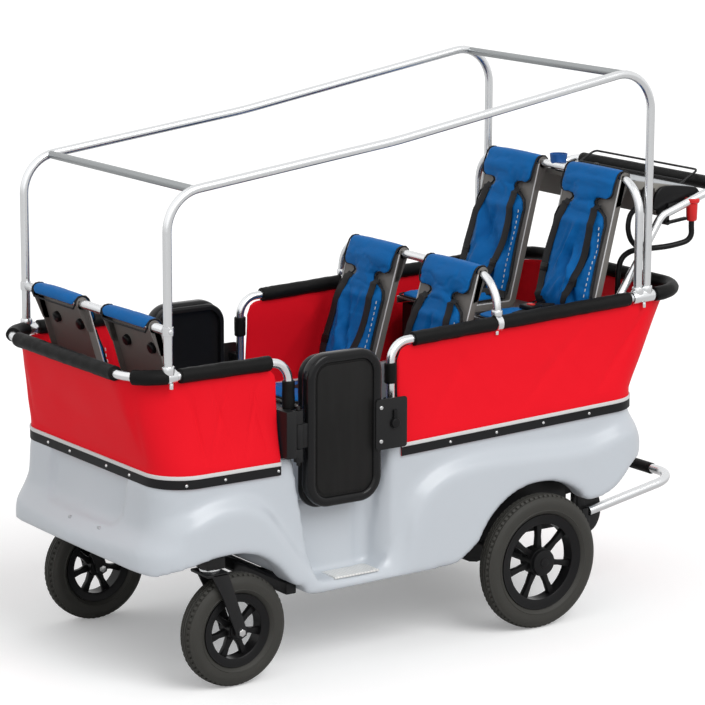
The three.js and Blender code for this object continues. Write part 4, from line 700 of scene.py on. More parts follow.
@dataclass
class Tub:
    """The moulded body with its fenders, door recesses and stepped floor."""

    top_half: float = 362
    bulge: float = 27
    front: float = -1110
    rear: float = 350
    corner: float = 92
    skirt: float = 180
    high: float = 640
    nose_line: tuple[Pair, ...] = (
        (300, 46), (342, 45), (364, 40), (386, 25), (406, 14), (450, 10), (500, 8), (540, 0))
    nose_crown: float = 32
    nose_middle: float = 345
    tail_reach: float = 40
    tail_start: float = 541
    tail_middle: float = 440
    soft: float = 24
    top_front: float = 556
    top_rear: float = 586
    rise_from: float = -464
    wall_half: float = 338
    wall: float = 24
    foot_half: float = 296
    pocket_half: float = 326
    arch: float = 211
    arch_rise: float = 0.4146
    dent: float = 15
    dent_half: float = 138
    dent_foot: float = 440
    dent_corner: float = 50
    voxel: float = 7.5
    flare: tuple[Pair, ...] = (
        (-496, 306), (-487, 328), (-474, 346), (-456, 362), (-434, 376), (-408, 388), (-376, 398), (-340, 406),
        (-340, 430))
    swept: tuple[Pair, ...] = (
        (-545, 237), (-504, 240), (-480, 252), (-462, 276), (-444, 316), (-424, 366), (-400, 410), (-366, 450),
        (-330, 474), (-330, 700), (-545, 700))
    step_top: float = 236
    recess_front: Pair = (-694, -752)
    recess_rear: Pair = (-500, -464)
    shoulders: tuple[Pair, ...] = (
        (-1200, 425), (-1110, 428), (-1048, 452), (-989, 474), (-907, 480), (-858, 463), (-821, 435),
        (-777, 381), (-736, 325), (-700, 285), (-640, 250), (-500, 250), (-474, 258), (-448, 300),
        (-430, 345), (-409, 396), (-365, 440), (-290, 474), (-169, 488), (2, 482), (158, 480),
        (268, 505), (350, 526))
    floor: tuple[Pair, ...] = (
        (-1229, 514.6), (-735, 514.6), (-735, 246), (-440, 246), (-440, 544.6), (-206, 544.6),
        (-206, 402), (430, 402))

    def top_at(self, x: float) -> float:
        """Height of the rim at a place along the vehicle."""
        return mix(self.top_front, self.top_rear, smooth((x - self.rise_from) / (self.rear - self.rise_from)))

    def station(self, share: float) -> tuple[float, float, float, float]:
        """A point of the half outline and its outward direction, from the nose to the tail."""
        inset = self.top_half - self.corner
        arc = QUARTER * self.corner
        side = self.rear - self.front - 2 * self.corner
        run = share * (2 * inset + 2 * arc + side)
        if run < inset:
            return self.front, run, -1, 0
        run -= inset
        if run < arc:
            angle = run / self.corner
            nx, ny = -math.cos(angle), math.sin(angle)
            return self.front + self.corner * (1 + nx), inset + self.corner * ny, nx, ny
        run -= arc
        if run < side:
            return self.front + self.corner + run, self.top_half, 0, 1
        run -= side
        if run < arc:
            angle = run / self.corner
            nx, ny = math.sin(angle), math.cos(angle)
            return self.rear - self.corner * (1 - nx), inset + self.corner * ny, nx, ny
        return self.rear, max(0, inset - (run - arc)), 1, 0

    def reach(self, x: float, y: float, nx: float, ny: float, z: float) -> float:
        """How far the skin stands out of the top outline."""
        slope = (flow(self.shoulders, x + 4) - flow(self.shoulders, x - 4)) / 8
        soft = self.soft * math.hypot(1, slope) * (1 + 0.7 * math.exp(-((x + 425) / 55) ** 2))
        below = smooth((flow(self.shoulders, x) + soft / 2 - z) / (2 * soft))
        start = self.top_front - self.soft
        nose_share = smooth((start - z) / (start - self.nose_middle))
        nose = flow(self.nose_line, z) + self.nose_crown * (1 - y / self.top_half) * nose_share
        away = math.hypot(max(0, y - self.dent_half), max(0, self.dent_foot - z))
        nose -= self.dent * smooth((self.dent_corner - away) / 12)
        tail = self.tail_reach * smooth((self.tail_start - z) / (self.tail_start - self.tail_middle))
        return nose * max(0, -nx) ** 2 + tail * max(0, nx) ** 2 + self.bulge * below * ny * ny

    def skin(self, u: float, v: float) -> Vector:
        """A point of the outer skin."""
        side = RIGHT if u < 0.5 else LEFT
        x, y, nx, ny = self.station(1 - abs(1 - 2 * u))
        z = mix(self.skirt, self.high, v)
        reach = self.reach(x, y, nx, ny, z)
        return at(x + nx * reach, side * (y + ny * reach), z)

    def silhouette(self) -> list[Pair]:
        """Side view of what stays: nose, arches, sill and tail."""
        radius, axle, rise = self.arch, REAR_WHEEL_RADIUS, self.arch_rise
        points = [(-1229, self.high + 9), (-1229, 332), (-1189, 332)]
        points += curve([(-1189, 332), (-1155, 306), (-1129, 306)])
        points += curve([(-1129, 306), (-1044, 332), (-994.5, 342), (-945, 342)])
        points += curve([(-945, 342), (-822, 342), (-801.5, 275), (-740, 220)], 12)
        points += curve([(-740, 220), (-714, 203), (-683, 203)])
        first = (radius * math.cos(math.pi - rise), axle + radius * math.sin(rise))
        points += [(-275, 211), *curve([(-275, 211), (-237, 224), first])]
        for k in range(1, 25):
            angle = mix(math.pi - rise, 0.89, k / 24)
            points.append((radius * math.cos(angle), axle + radius * math.sin(angle)))
        points += curve([points[-1], (150, 316), (168, 316)])
        points += curve([(168, 316), (247, 316), (300, 385)])
        points += curve([(300, 385), (352, 413), (430, 425)])
        return points + [(430, self.high + 9)]

    def recess(self, bottom: float) -> list[Pair]:
        """Side view of a door recess down to a height."""
        def lean(edge: Pair, z: float) -> float:
            """A place on one of the leaning edges, given by its foot and its place at the rim."""
            return mix(*edge, (z - self.step_top) / 320)
        round_ = 16
        front, rear, over = self.recess_front, self.recess_rear, bottom + round_
        left = [(lean(front, self.high), self.high), (lean(front, over), over)]
        left += curve([left[-1], (lean(front, bottom), bottom), (lean(front, bottom) + round_, bottom)])
        right = [(lean(rear, bottom) - round_, bottom)]
        right += curve([right[-1], (lean(rear, bottom), bottom), (lean(rear, over), over)])
        return left + right + [(lean(rear, self.high), self.high)]

    def cavity(self) -> Form:
        """The open cabin above the stepped floor."""
        stepped = [*self.floor, (430, 700), (-1229, 700)]
        plan = rounded(self.front + self.wall, self.rear - self.wall, -self.wall_half, self.wall_half, 78)
        room = Form().prism(stepped, -400, 400).combine(Form().prism(plan, 100, 690, Axis.Z), Cut.KEEP_BOTH)
        return self._keep_door_walls(room)

    def pocket(self) -> Form:
        """The hollow underside."""
        line = [(-1080, 504.6), (-745, 504.6), (-745, 236), (-430, 236), (-430, 534.6), (-216, 534.6),
                (-216, 392), (320, 392)]
        hollow = Form().prism([(-1080, 0), *line, (320, 0)], -self.pocket_half, self.pocket_half)
        return self._keep_door_walls(hollow)

    def _keep_door_walls(self, hollow: Form) -> Form:
        """Leaves the walls beside the doors out of a hollow."""
        for side in SIDES:
            wall = Form().block((-776, side * self.foot_half, -10), (-440, side * 420, 720))
            hollow.combine(wall, Cut.REMOVE)
        return hollow

    def build(self) -> None:
        """Builds the tub and its small fittings."""
        shell = Form().grid(560, 72, self.skin)
        bmesh.ops.remove_doubles(shell.bm, verts=shell.bm.verts[:], dist=0.01)
        rims = [e for e in shell.bm.edges if e.is_boundary]
        for height in (self.skirt, self.high):
            loop = [e for e in rims if abs(e.verts[0].co.z - height) < 1]
            bmesh.ops.edgeloop_fill(shell.bm, edges=loop)
        bmesh.ops.recalc_face_normals(shell.bm, faces=shell.bm.faces[:])
        shell.combine(Form().prism(self.silhouette(), -460, 460), Cut.KEEP_BOTH)
        places = [-1300 + 60 * k for k in range(31)]
        lid = [(x, self.top_at(x)) for x in places] + [(places[-1], 800), (places[0], 800)]
        tools = [Form().prism(lid, -470, 470), self.cavity(), self.pocket()]
        for side in SIDES:
            tools.append(Form().prism(self.recess(self.step_top), side * 312, side * 470))
            tools.append(Form().prism(self.recess(430), side * 256, side * 470))
            flare = [(-540, side * 306), *((x, side * y) for x, y in self.flare), (-540, side * 430)]
            tools.append(Form().prism(self.swept, side * 300, side * 440).combine(
                Form().prism(flare, 200, 720, Axis.Z), Cut.KEEP_BOTH))
        tools.append(Form().block((-760.3, -440, -10), (-729.7, 440, 233.3)))
        for tool in tools:
            shell.combine(tool, Cut.REMOVE)
        shell.remesh(self.voxel, 8)
        shell.piece("tub_shell", Finishes.TUB, nodes=["moulded_body"], angle=180)
        plugs = Form()
        for y in (10, -118):
            face = self.front - self.reach(self.front, abs(y), -1, 0, 382)
            plugs.rod(at(face - 1.2, y, 382), at(face + 8, y, 382), 6, sides=20, edge=0.8)
        plugs.piece("nose_plugs", Finishes.TRAY)


@dataclass
class FabricWall:
    """One of the two fabric walls: a U of cloth between the tub's rim and the rail."""

    name: str
    node: str
    door_x: float
    end_x: float
    top_end_x: float
    bottom: Callable[[float], float]
    rail: Callable[[float], float]
    rim: Callable[[float], float]
    studs: tuple[Pair, ...]
    half: float = 363
    top_half: float = 344
    corner: float = 93
    top_corner: float = 150
    pull: float = 6
    shoulder: float = 34
    straight: float = 0.62
    turned: float = 0.86
    strip: float = 0.15
    slack: float = 3.6
    seed: float = 0

    @property
    def towards(self) -> float:
        """The direction along the vehicle from the door to the wall's end."""
        return math.copysign(1, self.end_x - self.door_x)

    def plan(self, u: float, end: float, half: float, corner: float, out: float) -> tuple[float, float, float]:
        """A point of a U in plan, and how far it faces the vehicle's end."""
        towards, straight, turned = self.towards, self.straight, self.turned
        side = RIGHT if u > 0.5 else LEFT
        t = 1 - abs(1 - 2 * u)
        turn_x = end - towards * corner
        radius = corner + out
        if t < straight:
            return mix(self.door_x, turn_x, t / straight), side * (half + out), 0
        if t < turned:
            angle = QUARTER * (t - straight) / (turned - straight)
            return (turn_x + towards * radius * math.sin(angle),
                    side * (half - corner + radius * math.cos(angle)), math.sin(angle))
        return end + towards * out, side * (half - corner) * (1 - (t - turned) / (1 - turned)), 1

    def top(self, x: float) -> float:
        """Height of the cloth's upper edge, which follows the rail's bend at the door."""
        near = abs(x - self.door_x)
        round_ = self.shoulder
        dip = round_ - math.sqrt(max(0, round_ ** 2 - (round_ - near) ** 2)) if near < round_ else 0
        return self.rail(x) - 14 - dip

    def cloth(self, u: float, v: float) -> Vector:
        """A point of the cloth."""
        x0, y0, across = self.plan(u, self.end_x, self.half, self.corner, 1.8)
        low, rim = self.bottom(x0), self.rim(x0) + 5
        if v < self.strip:
            return at(x0, y0, mix(low, rim, v / self.strip))
        share = (v - self.strip) / (1 - self.strip)
        x1, y1, _ = self.plan(u, self.top_end_x, self.top_half, self.top_corner, 0)
        wave = self.slack * noise.noise(Vector((x0 * 0.007 + self.seed, y0 * 0.007, share * 2.6)))
        wave += self._creases(u, share)
        inward = (self.pull * (1 - across) + wave) * math.sin(math.pi * share) ** 0.8
        point = at(mix(x0, x1, share), mix(y0, y1, share), 0)
        facing = Vector((across * self.towards, math.copysign(1, y0) * (1 - across), 0)).normalized()
        point -= facing * inward
        point.z = mix(rim, self.top(x1), share)
        return point

    def _creases(self, u: float, share: float) -> float:
        """Slack folds that run down from the rail near the corners."""
        t = 1 - abs(1 - 2 * u)
        fold = 0.0
        for centre, slope, width, depth in (
                (0.66, -0.1, 0.016, 4.5), (0.78, 0.08, 0.02, 4), (0.5, -0.16, 0.02, 3), (0.34, 0.2, 0.016, 2.4),
                (0.2, -0.12, 0.02, 2.6), (0.12, 0.14, 0.014, 2.2)):
            fold += depth * math.exp(-((t - centre - slope * (1 - share)) / width) ** 2)
        return fold

    def line(self, out: float, rise: float, count: int = 120) -> list[Vector]:
        """A route along the tub's rim, a distance out of it and above the cloth's lower edge."""
        route = []
        for i in range(count + 1):
            x, y, _ = self.plan(i / count, self.end_x, self.half, self.corner, out)
            route.append(at(x, y, self.bottom(x) + rise))
        return route

    def cut(self, count: int = 120) -> tuple[Pair, float]:
        """The flat size and area in metres that the cloth is cut to.

        It is the straight strip between the tub's rim and the rail, without the folds and the pull of the
        modelled cloth.

        Returns:
            The size, as the longer edge by the greatest height, and the strip's area.
        """
        foot, head = ([self.cloth(k / count, edge) for k in range(count + 1)] for edge in (0, 1))
        wide = max(sum((b - a).length for a, b in zip(line, line[1:])) for line in (foot, head))
        tall = max((b - a).length for a, b in zip(foot, head))
        area = 0.0
        for a, b, c, d in zip(foot, foot[1:], head[1:], head):
            area += ((b - a).cross(d - a).length + (d - c).cross(b - c).length) / 2
        return (wide * MILLI, tall * MILLI), area * MILLI * MILLI

    def build(self) -> None:
        """Builds the cloth, its band, piping and studs."""
        rim = self.line(2, 0)
        length = sum((b - a).length for a, b in zip(rim, rim[1:]))
        sheet = Form().grid(260, 34, self.cloth, lambda u, v: (u * length, v * 280))
        flat, area = self.cut()
        cloth = sheet.piece(f"{self.name}_cloth", Finishes.WALL, nodes=[self.node], angle=180, wall=1.4)
        band = [(-1.4, -11), (1.4, -11), (1.6, -9), (1.6, 9), (1.4, 11), (-1.4, 11)]
        Form().sweep(self.line(4.2, 11.5), band).piece(f"{self.name}_band", Finishes.BAND)
        cord = rounded(-2.3, 2.3, -5, 5, 2.2, 3)
        Form().sweep(self.line(4.4, 28), cord).piece(f"{self.name}_piping", Finishes.PIPING_AND_HIGHLIGHT)
        self._studs()

    def _studs(self) -> None:
        """Builds the studs on the band, on both sides."""
        studs = Form()
        for x, y in self.studs:
            for side in SIDES:
                if y:
                    start = at(x, side * y, self.bottom(x) + 12)
                    out = Vector((self.towards, 0, 0))
                else:
                    start = at(x, side * (self.half + 5.4), self.bottom(x) + 12)
                    out = Vector((0, side, 0))
                studs.rod(start, start + out * 2.6, 4.6, 2.6, edge=0.6, sides=16)
        studs.piece(f"{self.name}_studs", Finishes.BOLT)


@dataclass
class Rails:
    """The two tubular rails with their foam sleeves, posts and door hinges."""

    half: float = RAIL_HALF
    front_z: float = 792
    front_x: float = -1175
    hinge_post: float = -754
    latch_post: float = -451
    rear_x: float = 515
    rear_z: float = 804
    rear_rise: float = 34
    pad_front: float = -384
    pad_rear: float = 312
    corner: float = 105
    bend: float = 50
    foot: float = 557
    pad: float = 18.3

    def rear_at(self, x: float) -> float:
        """Height of the rear rail's centre line, which climbs from the side pads' front ends."""
        return self.rear_z + self.rear_rise * (x - self.pad_front) / (self.rear_x - self.pad_front)

    def front_path(self) -> list[Vector]:
        """The front rail's centre line."""
        z, h = self.front_z, self.half
        return bent([at(self.hinge_post, -h, self.foot), at(self.hinge_post, -h, z), at(self.front_x, -h, z),
                     at(self.front_x, h, z), at(self.hinge_post, h, z), at(self.hinge_post, h, self.foot)],
                    [self.bend, self.corner, self.corner, self.bend])

    def rear_path(self) -> list[Vector]:
        """The rear rail's centre line."""
        h, near, far = self.half, self.rear_at(self.latch_post), self.rear_at(self.rear_x)
        return bent([at(self.latch_post, -h, self.foot), at(self.latch_post, -h, near), at(self.rear_x, -h, far),
                     at(self.rear_x, h, far), at(self.latch_post, h, near), at(self.latch_post, h, self.foot)],
                    [self.bend, self.corner, self.corner, self.bend])

    def build(self) -> None:
        """Builds the rails and what is on them."""
        Form().tube(self.front_path(), TUBE_RADIUS).piece("front_rail_tube", Finishes.TUBE, nodes=["front_rail"])
        Form().tube(self.rear_path(), TUBE_RADIUS).piece("rear_rail_tube", Finishes.TUBE, nodes=["rear_rail"])
        self._sleeve("front_sleeve", [at(self.front_x, -240, self.front_z), at(self.front_x, 240, self.front_z)],
                     ["front_pad"])
        for side, word in SIDES.items():
            y = side * self.half
            self._sleeve(f"front_side_sleeve_{word}", [at(-1062, y, self.front_z), at(-808, y, self.front_z)],
                         [f"front_side_pad_{word}"])
            ends = [at(x, y, self.rear_at(x)) for x in (self.pad_front, self.pad_rear)]
            self._sleeve(f"rear_side_sleeve_{word}", ends, [f"rear_side_pad_{word}"])
            self._sleeve(f"front_corner_sleeve_{word}", self._corner_route(side), [])
            for x, low, high in ((self.hinge_post, 673, 743), (self.latch_post, 700, 751)):
                name = f"{'front' if x == self.hinge_post else 'rear'}_post_sleeve_{word}"
                self._sleeve(name, [at(x, y, low), at(x, y, high)], [], 15.5)
            self._hinge(side, word)
        far, near, h = self.rear_at(self.rear_x), self.rear_at(398), self.half
        route = bent([at(398, -h, near), at(self.rear_x, -h, far), at(self.rear_x, h, far), at(398, h, near)],
                     [self.corner, self.corner], 16)
        self._sleeve("rear_end_sleeve", route, ["rear_end_pad"])

    def _corner_route(self, side: int) -> list[Vector]:
        """The short sleeve between the bare corner and the canopy's clamp."""
        middle = at(self.front_x + self.corner, side * (self.half - self.corner), self.front_z)
        route = []
        for k in range(9):
            angle = QUARTER * mix(0.34, 0.86, k / 8)
            route.append(middle + self.corner * Vector((-math.cos(angle), side * math.sin(angle), 0)))
        return route

    def _sleeve(self, name: str, route: list[Vector], nodes: list[str], radius: float | None = None) -> None:
        """Builds one foam sleeve with faint folds across it."""
        if len(route) == 2:
            count = max(2, round((route[1] - route[0]).length / 9))
            route = [route[0].lerp(route[1], k / count) for k in range(count + 1)]
        form = Form().sleeve(route, radius or self.pad, 3)
        for vert in form.bm.verts:
            shift = noise.noise_vector(vert.co * 0.03) * 1.3 + noise.noise_vector(vert.co * 0.11) * 0.7
            vert.co += shift + noise.noise_vector(vert.co * 0.3) * 0.4
        form.piece(name, Finishes.PAD, nodes=nodes, angle=60)

    def _hinge(self, side: int, word: str) -> None:
        """Builds a door hinge: a clamped block, two knuckles and the pin."""
        form = Form()
        y, outer = side * HINGE_Y, side * (HINGE_Y + HINGE_RADIUS)
        form.block((-786, side * (self.half - 17), 558), (-757, outer, 675), 2)
        for low, high in ((545.5, 578.6), (641.4, 674.6)):
            form.rod(at(HINGE_X, y, low), at(HINGE_X, y, high), HINGE_RADIUS, edge=1.5)
            form.block((-760, side * (HINGE_Y - HINGE_RADIUS), max(low, 558)), (HINGE_X, outer, high), 1)
        form.rod(at(HINGE_X, y, 536), at(HINGE_X, y, 684), 5, edge=1)
        form.piece(f"door_hinge_{word}", Finishes.POWDER)


@dataclass
class Canopy:
    """The two canopy hoops with their cross bars and clamps."""

    rails: Rails
    half: float = RAIL_HALF
    front_x: float = FRONT_BAR_X
    rear_x: float = 371
    front_z: float = 1224
    middle_x: float = -440
    middle_z: float = 1303
    rear_z: float = 1438
    bend: float = 98
    foot_rise: float = 20.3

    def height(self, x: float) -> float:
        """Height of the hoops' centre line, on the straight runs and the bends over the posts."""
        front = x < self.middle_x
        slope = ((self.middle_z - self.front_z) / (self.middle_x - self.front_x) if front
                 else (self.rear_z - self.middle_z) / (self.rear_x - self.middle_x))
        centre = self.front_x + self.bend if front else self.rear_x - self.bend
        start = centre - self.bend * math.sin(math.atan(slope))
        if (x >= start) if front else (x <= start):
            return self.middle_z + slope * (x - self.middle_x)
        base = self.middle_z + slope * (centre - self.middle_x) - self.bend * math.hypot(1, slope)
        return base + math.sqrt(self.bend ** 2 - (x - centre) ** 2)

    def build(self) -> None:
        """Builds hoops, bars and clamps."""
        front_top = self.rails.front_z + self.foot_rise
        rear_top = self.rails.rear_at(self.rear_x) + self.foot_rise
        for side, word in SIDES.items():
            y = side * self.half
            route = bent([at(self.front_x, y, front_top), at(self.front_x, y, self.front_z),
                          at(self.middle_x, y, self.middle_z), at(self.rear_x, y, self.rear_z),
                          at(self.rear_x, y, rear_top)], [self.bend, 1500, self.bend], 12)
            Form().tube(route, TUBE_RADIUS).piece(f"canopy_tube_{word}", Finishes.TUBE, nodes=[f"canopy_hoop_{word}"])
            self._clamp(f"front_post_clamp_{word}", -1088, 34, y - side * 3, lambda x: self.rails.front_z,
                        [f"front_clamp_{word}"], [self.front_x], side)
            self._clamp(f"rear_post_clamp_{word}", 356, 70, y, self.rails.rear_at, [f"rear_clamp_{word}"],
                        [self.rear_x, 341], side)
        for word, x in (("front", -1018), ("rear", 301)):
            z = self.height(x)
            bar = Form().rod(at(x, -338, z), at(x, 338, z), 10, edge=1)
            bar.piece(f"canopy_bar_{word}", Finishes.DARK_BAR, nodes=[f"canopy_crossbar_{word}"])

    def _clamp(self, name: str, x: float, length: float, y: float, height: Callable[[float], float],
               nodes: list[str], posts: list[float], side: int) -> None:
        """Builds a cast clamp round the rail, with sockets for the posts and a screw."""
        form = Form()
        start, end = x - length / 2, x + length / 2
        form.rod(at(start, y, height(start)), at(end, y, height(end)), 16.5, edge=2)
        form.block((start + 3, y - 8, height(x) + 8), (end - 3, y + 8, height(x) + 19), 3)
        for post in posts:
            form.rod(at(post, side * self.half, height(post) + 6), at(post, side * self.half, height(post) + 27),
                     15.2, edge=2)
        low = height(x) - 17
        form.rod(at(x, y + side * 9, low - 11), at(x, y + side * 9, low + 3), 5, edge=1, sides=16)
        form.piece(name, Finishes.TUBE, nodes=nodes)


@dataclass
class Seat:
    """One padded seat on its bar."""

    row: str
    word: str
    x: float
    z: float
    y: float
    facing: int
    lean: float
    seed: int
    half: float = 114
    depth: float = 215
    drop: float = 370
    face: float = 15.3

    def side_point(self, forward: float, drop: float) -> Vector:
        """A point of the side view: a distance in front of the bar and a drop below it."""
        return at(self.x + self.facing * forward, self.y, self.z - drop)

    def foot(self) -> float:
        """How far in front of the bar the back meets the seat."""
        return self.face + self.drop * math.tan(self.lean)

    def profile(self) -> list[Vector]:
        """The covered line: behind the bar, over it, down the back and along the seat."""
        toe = self.foot() + self.depth - 2
        corners = [(-15, 27), (-15, -15.5), (15.5, -15.5), (self.foot() + 0.6, self.drop - 0.6),
                   (toe, self.drop - 0.6)]
        return bent([self.side_point(*c) for c in corners], [13, 13, 26], 10)

    def wrap(self, across: float, along: float, out: float, route: list[Vector] | None = None) -> Vector:
        """Puts a point of the flat cover on the seat.

        Args:
            across: distance from the seat's middle.
            along: distance along the profile from its start behind the bar.
            out: distance off the profile.
            route: the profile, if it is known.

        Returns:
            The point in space.
        """
        route = route or self.profile()
        left = along
        last = len(route) - 2
        for i in range(len(route) - 1):
            step = route[i + 1] - route[i]
            if left <= step.length or i == last:
                break
            left -= step.length
        tangent = step.normalized()
        outward = Vector((-tangent.z, 0, tangent.x)) * self.facing
        share = left / step.length
        nearby = route[min(i + 2, last + 1)] - route[i + 1] if i < last else step
        turned = Vector((-nearby.normalized().z, 0, nearby.normalized().x)) * self.facing
        outward = outward.lerp(turned, min(1, max(0, share)) * 0.5).normalized()
        return route[i] + tangent * left + outward * out + Vector((0, across, 0))

    def build(self, pad: "CoverPad") -> None:
        """Builds the shell, the cover and the harness."""
        self._shell()
        pad.dress(self)
        self._harness(pad)

    def _shell(self) -> None:
        """Builds the sheet shell, its flanges bent back round the bar."""
        h = self.half
        foot = self.foot()
        route = bent([self.side_point(self.face - 0.3, 2), self.side_point(foot, self.drop),
                      self.side_point(foot + self.depth, self.drop)], [9], 8)
        section = [(-h, -3), (-h + 1, -0.8), (-h + 3, 0), (h - 3, 0), (h - 1, -0.8), (h, -3), (h, -18),
                   (h - 4, -18), (h - 4, -4.5), (h - 6, -4), (6 - h, -4), (4 - h, -4.5), (4 - h, -18),
                   (-h, -18)]
        up = Vector((self.facing * math.cos(self.lean), 0, math.sin(self.lean)))
        form = Form().sweep(route, section, up=up)
        for side in SIDES:
            edge = self.y + side * h
            form.rod(at(self.x, edge - side * 4, self.z), at(self.x, edge, self.z), 16, edge=0.8)
            web = [(-11, -8), (11, -8), (self.face - 1, 6), (self.face + 17, 76), (self.face - 1, 72), (-13, 8)]
            outline = [(self.x + self.facing * f, self.z - d) for f, d in web]
            form.prism(outline, edge - side * 4, edge, edge=0.6)
        node = f"{self.row}_seat_shell_{self.word}"
        form.piece(f"{self.row}_shell_{self.word}", Finishes.SHELL, nodes=[node], angle=50)
        # Pale thin tubes along both flange edges: a painted highlight where the bent flange catches the light.
        edge_highlight = Form()
        for side in SIDES:
            edge_highlight.tube([p + Vector((0, side * (h - 1.2), 0)) for p in route], 1.7, 8)
        edge_highlight.piece(f"{self.row}_shell_edge_highlights_{self.word}", Finishes.PIPING_AND_HIGHLIGHT)
        if self.row == "front":
            self._knobs()

    def _knobs(self) -> None:
        """Builds the two round knobs on the back of a front seat."""
        knobs = Form()
        for side in SIDES:
            base = self.side_point(self.face - 4 + 62 * math.tan(self.lean), 62) + Vector((0, side * 58, 0))
            back = Vector((-self.facing * math.cos(self.lean), 0, -math.sin(self.lean)))
            knobs.rod(base, base + back * 11, 15, 13, edge=2)
        knobs.piece(f"front_seat_knobs_{self.word}", Finishes.PLASTIC)

    def _strap(self, pad: "CoverPad", name: str, points: Sequence[Pair], width: float = 24) -> None:
        """Lays one webbing strap on the cover, through (across, along) places."""
        route = self.profile()
        flat = flowing([at(*p, 0) for p in points], 7)
        tops = [max(pad.top(p.x + aside, p.y, self.seed) for aside in (-width * 0.4, 0, width * 0.4)) for p in flat]
        count = len(tops)
        outs = [sum(tops[max(0, i - 3):i + 4]) / len(tops[max(0, i - 3):i + 4]) for i in range(count)]
        path = [self.wrap(p.x, p.y, max(out, top) + 1.6, route) for p, out, top in zip(flat, outs, tops)]
        up = self.wrap(*points[0], 10, route) - self.wrap(*points[0], 0, route)
        section = rounded(-width / 2, width / 2, -0.8, 0.8, 0.7, 2)
        Form().sweep(path, section, up=up).piece(name, Finishes.STRAP, angle=60)

    def _harness(self, pad: "CoverPad") -> None:
        """Builds the shoulder, hip and middle straps with their buckle."""
        name = f"{self.row}_{self.word}"
        slot, low = 158, 474
        routes = {LEFT: [(-60, 0), (-61, 34), (-60, 90), (-54, 160), (-44, 225), (-22, 280), (20, 335), (36, 376)],
                  RIGHT: [(60, 0), (68, 34), (84, 88), (93, 150), (90, 215), (76, 268), (56, 320), (40, 376)]}
        for side, word in SIDES.items():
            self._strap(pad, f"shoulder_strap_{name}_{word}", [(a, slot + b) for a, b in routes[side]], 27)
            self._strap(pad, f"hip_strap_{name}_{word}", [
                (side * 111, low - 14), (side * 103, low + 4), (side * 80 + 8, low + 36), (side * 26 + 36, low + 56)])
        self._adjuster(pad, f"strap_adjuster_{name}_left", -47, slot + 212)
        self._adjuster(pad, f"strap_adjuster_{name}_right", 91, slot + 190)
        self._strap(pad, f"middle_strap_{name}", [(10, low + 130), (22, low + 100), (34, low + 70)])
        self._buckle(pad, name, low + 60)
        self._lacing(pad, name)

    def _lacing(self, pad: "CoverPad", name: str) -> None:
        """Builds the dashes of the cord that laces the cover near one edge."""
        route = self.profile()
        dashes = Form()
        for k in range(15):
            start = 214 + 15 * k
            dashes.tube([self.wrap(-93, start + 2.6 * j, pad.top(-93, start + 4, self.seed) + 0.4, route)
                         for j in range(4)], 1.2, 8)
        dashes.piece(f"lacing_{name}", Finishes.PIPING_AND_HIGHLIGHT)

    def _adjuster(self, pad: "CoverPad", name: str, across: float, along: float) -> None:
        """Builds a small black slider on a strap."""
        route = self.profile()
        out = pad.top(across, along, self.seed) + 2.5
        form = Form().block((-15, -11, -2), (15, 11, 2.4), 1.6)
        form.join(Form().block((-13, -2, 2), (13, 2, 4), 0.8))
        self._set(form, across, along, out, route)
        form.piece(name, Finishes.PLASTIC)

    def _set(self, form: Form, across: float, along: float, out: float, route: list[Vector]) -> None:
        """Turns a small flat form so that it lies on the cover."""
        base = self.wrap(across, along, out, route)
        down = (self.wrap(across, along + 12, out, route) - base).normalized()
        outward = (self.wrap(across, along, out + 10, route) - base).normalized()
        turn = Matrix((down.cross(outward), -down, outward)).transposed().to_4x4()
        bmesh.ops.transform(form.bm, matrix=Matrix.Translation(base) @ turn, verts=form.bm.verts[:])

    def _buckle(self, pad: "CoverPad", name: str, along: float) -> None:
        """Builds the buckle with its red push button."""
        route = self.profile()
        out = pad.top(36, along, self.seed) + 7
        body = Form().prism(rounded(-26, 26, -24, 24, 10), -5, 7, Axis.Z, 2.5)
        self._set(body, 36, along, out, route)
        body.piece(f"buckle_{name}", Finishes.PLASTIC)
        button = Form().prism(rounded(-11, 11, -9, 9, 5), 5, 9.5, Axis.Z, 1.5)
        self._set(button, 36, along, out, route)
        button.piece(f"buckle_button_{name}", Finishes.RED)


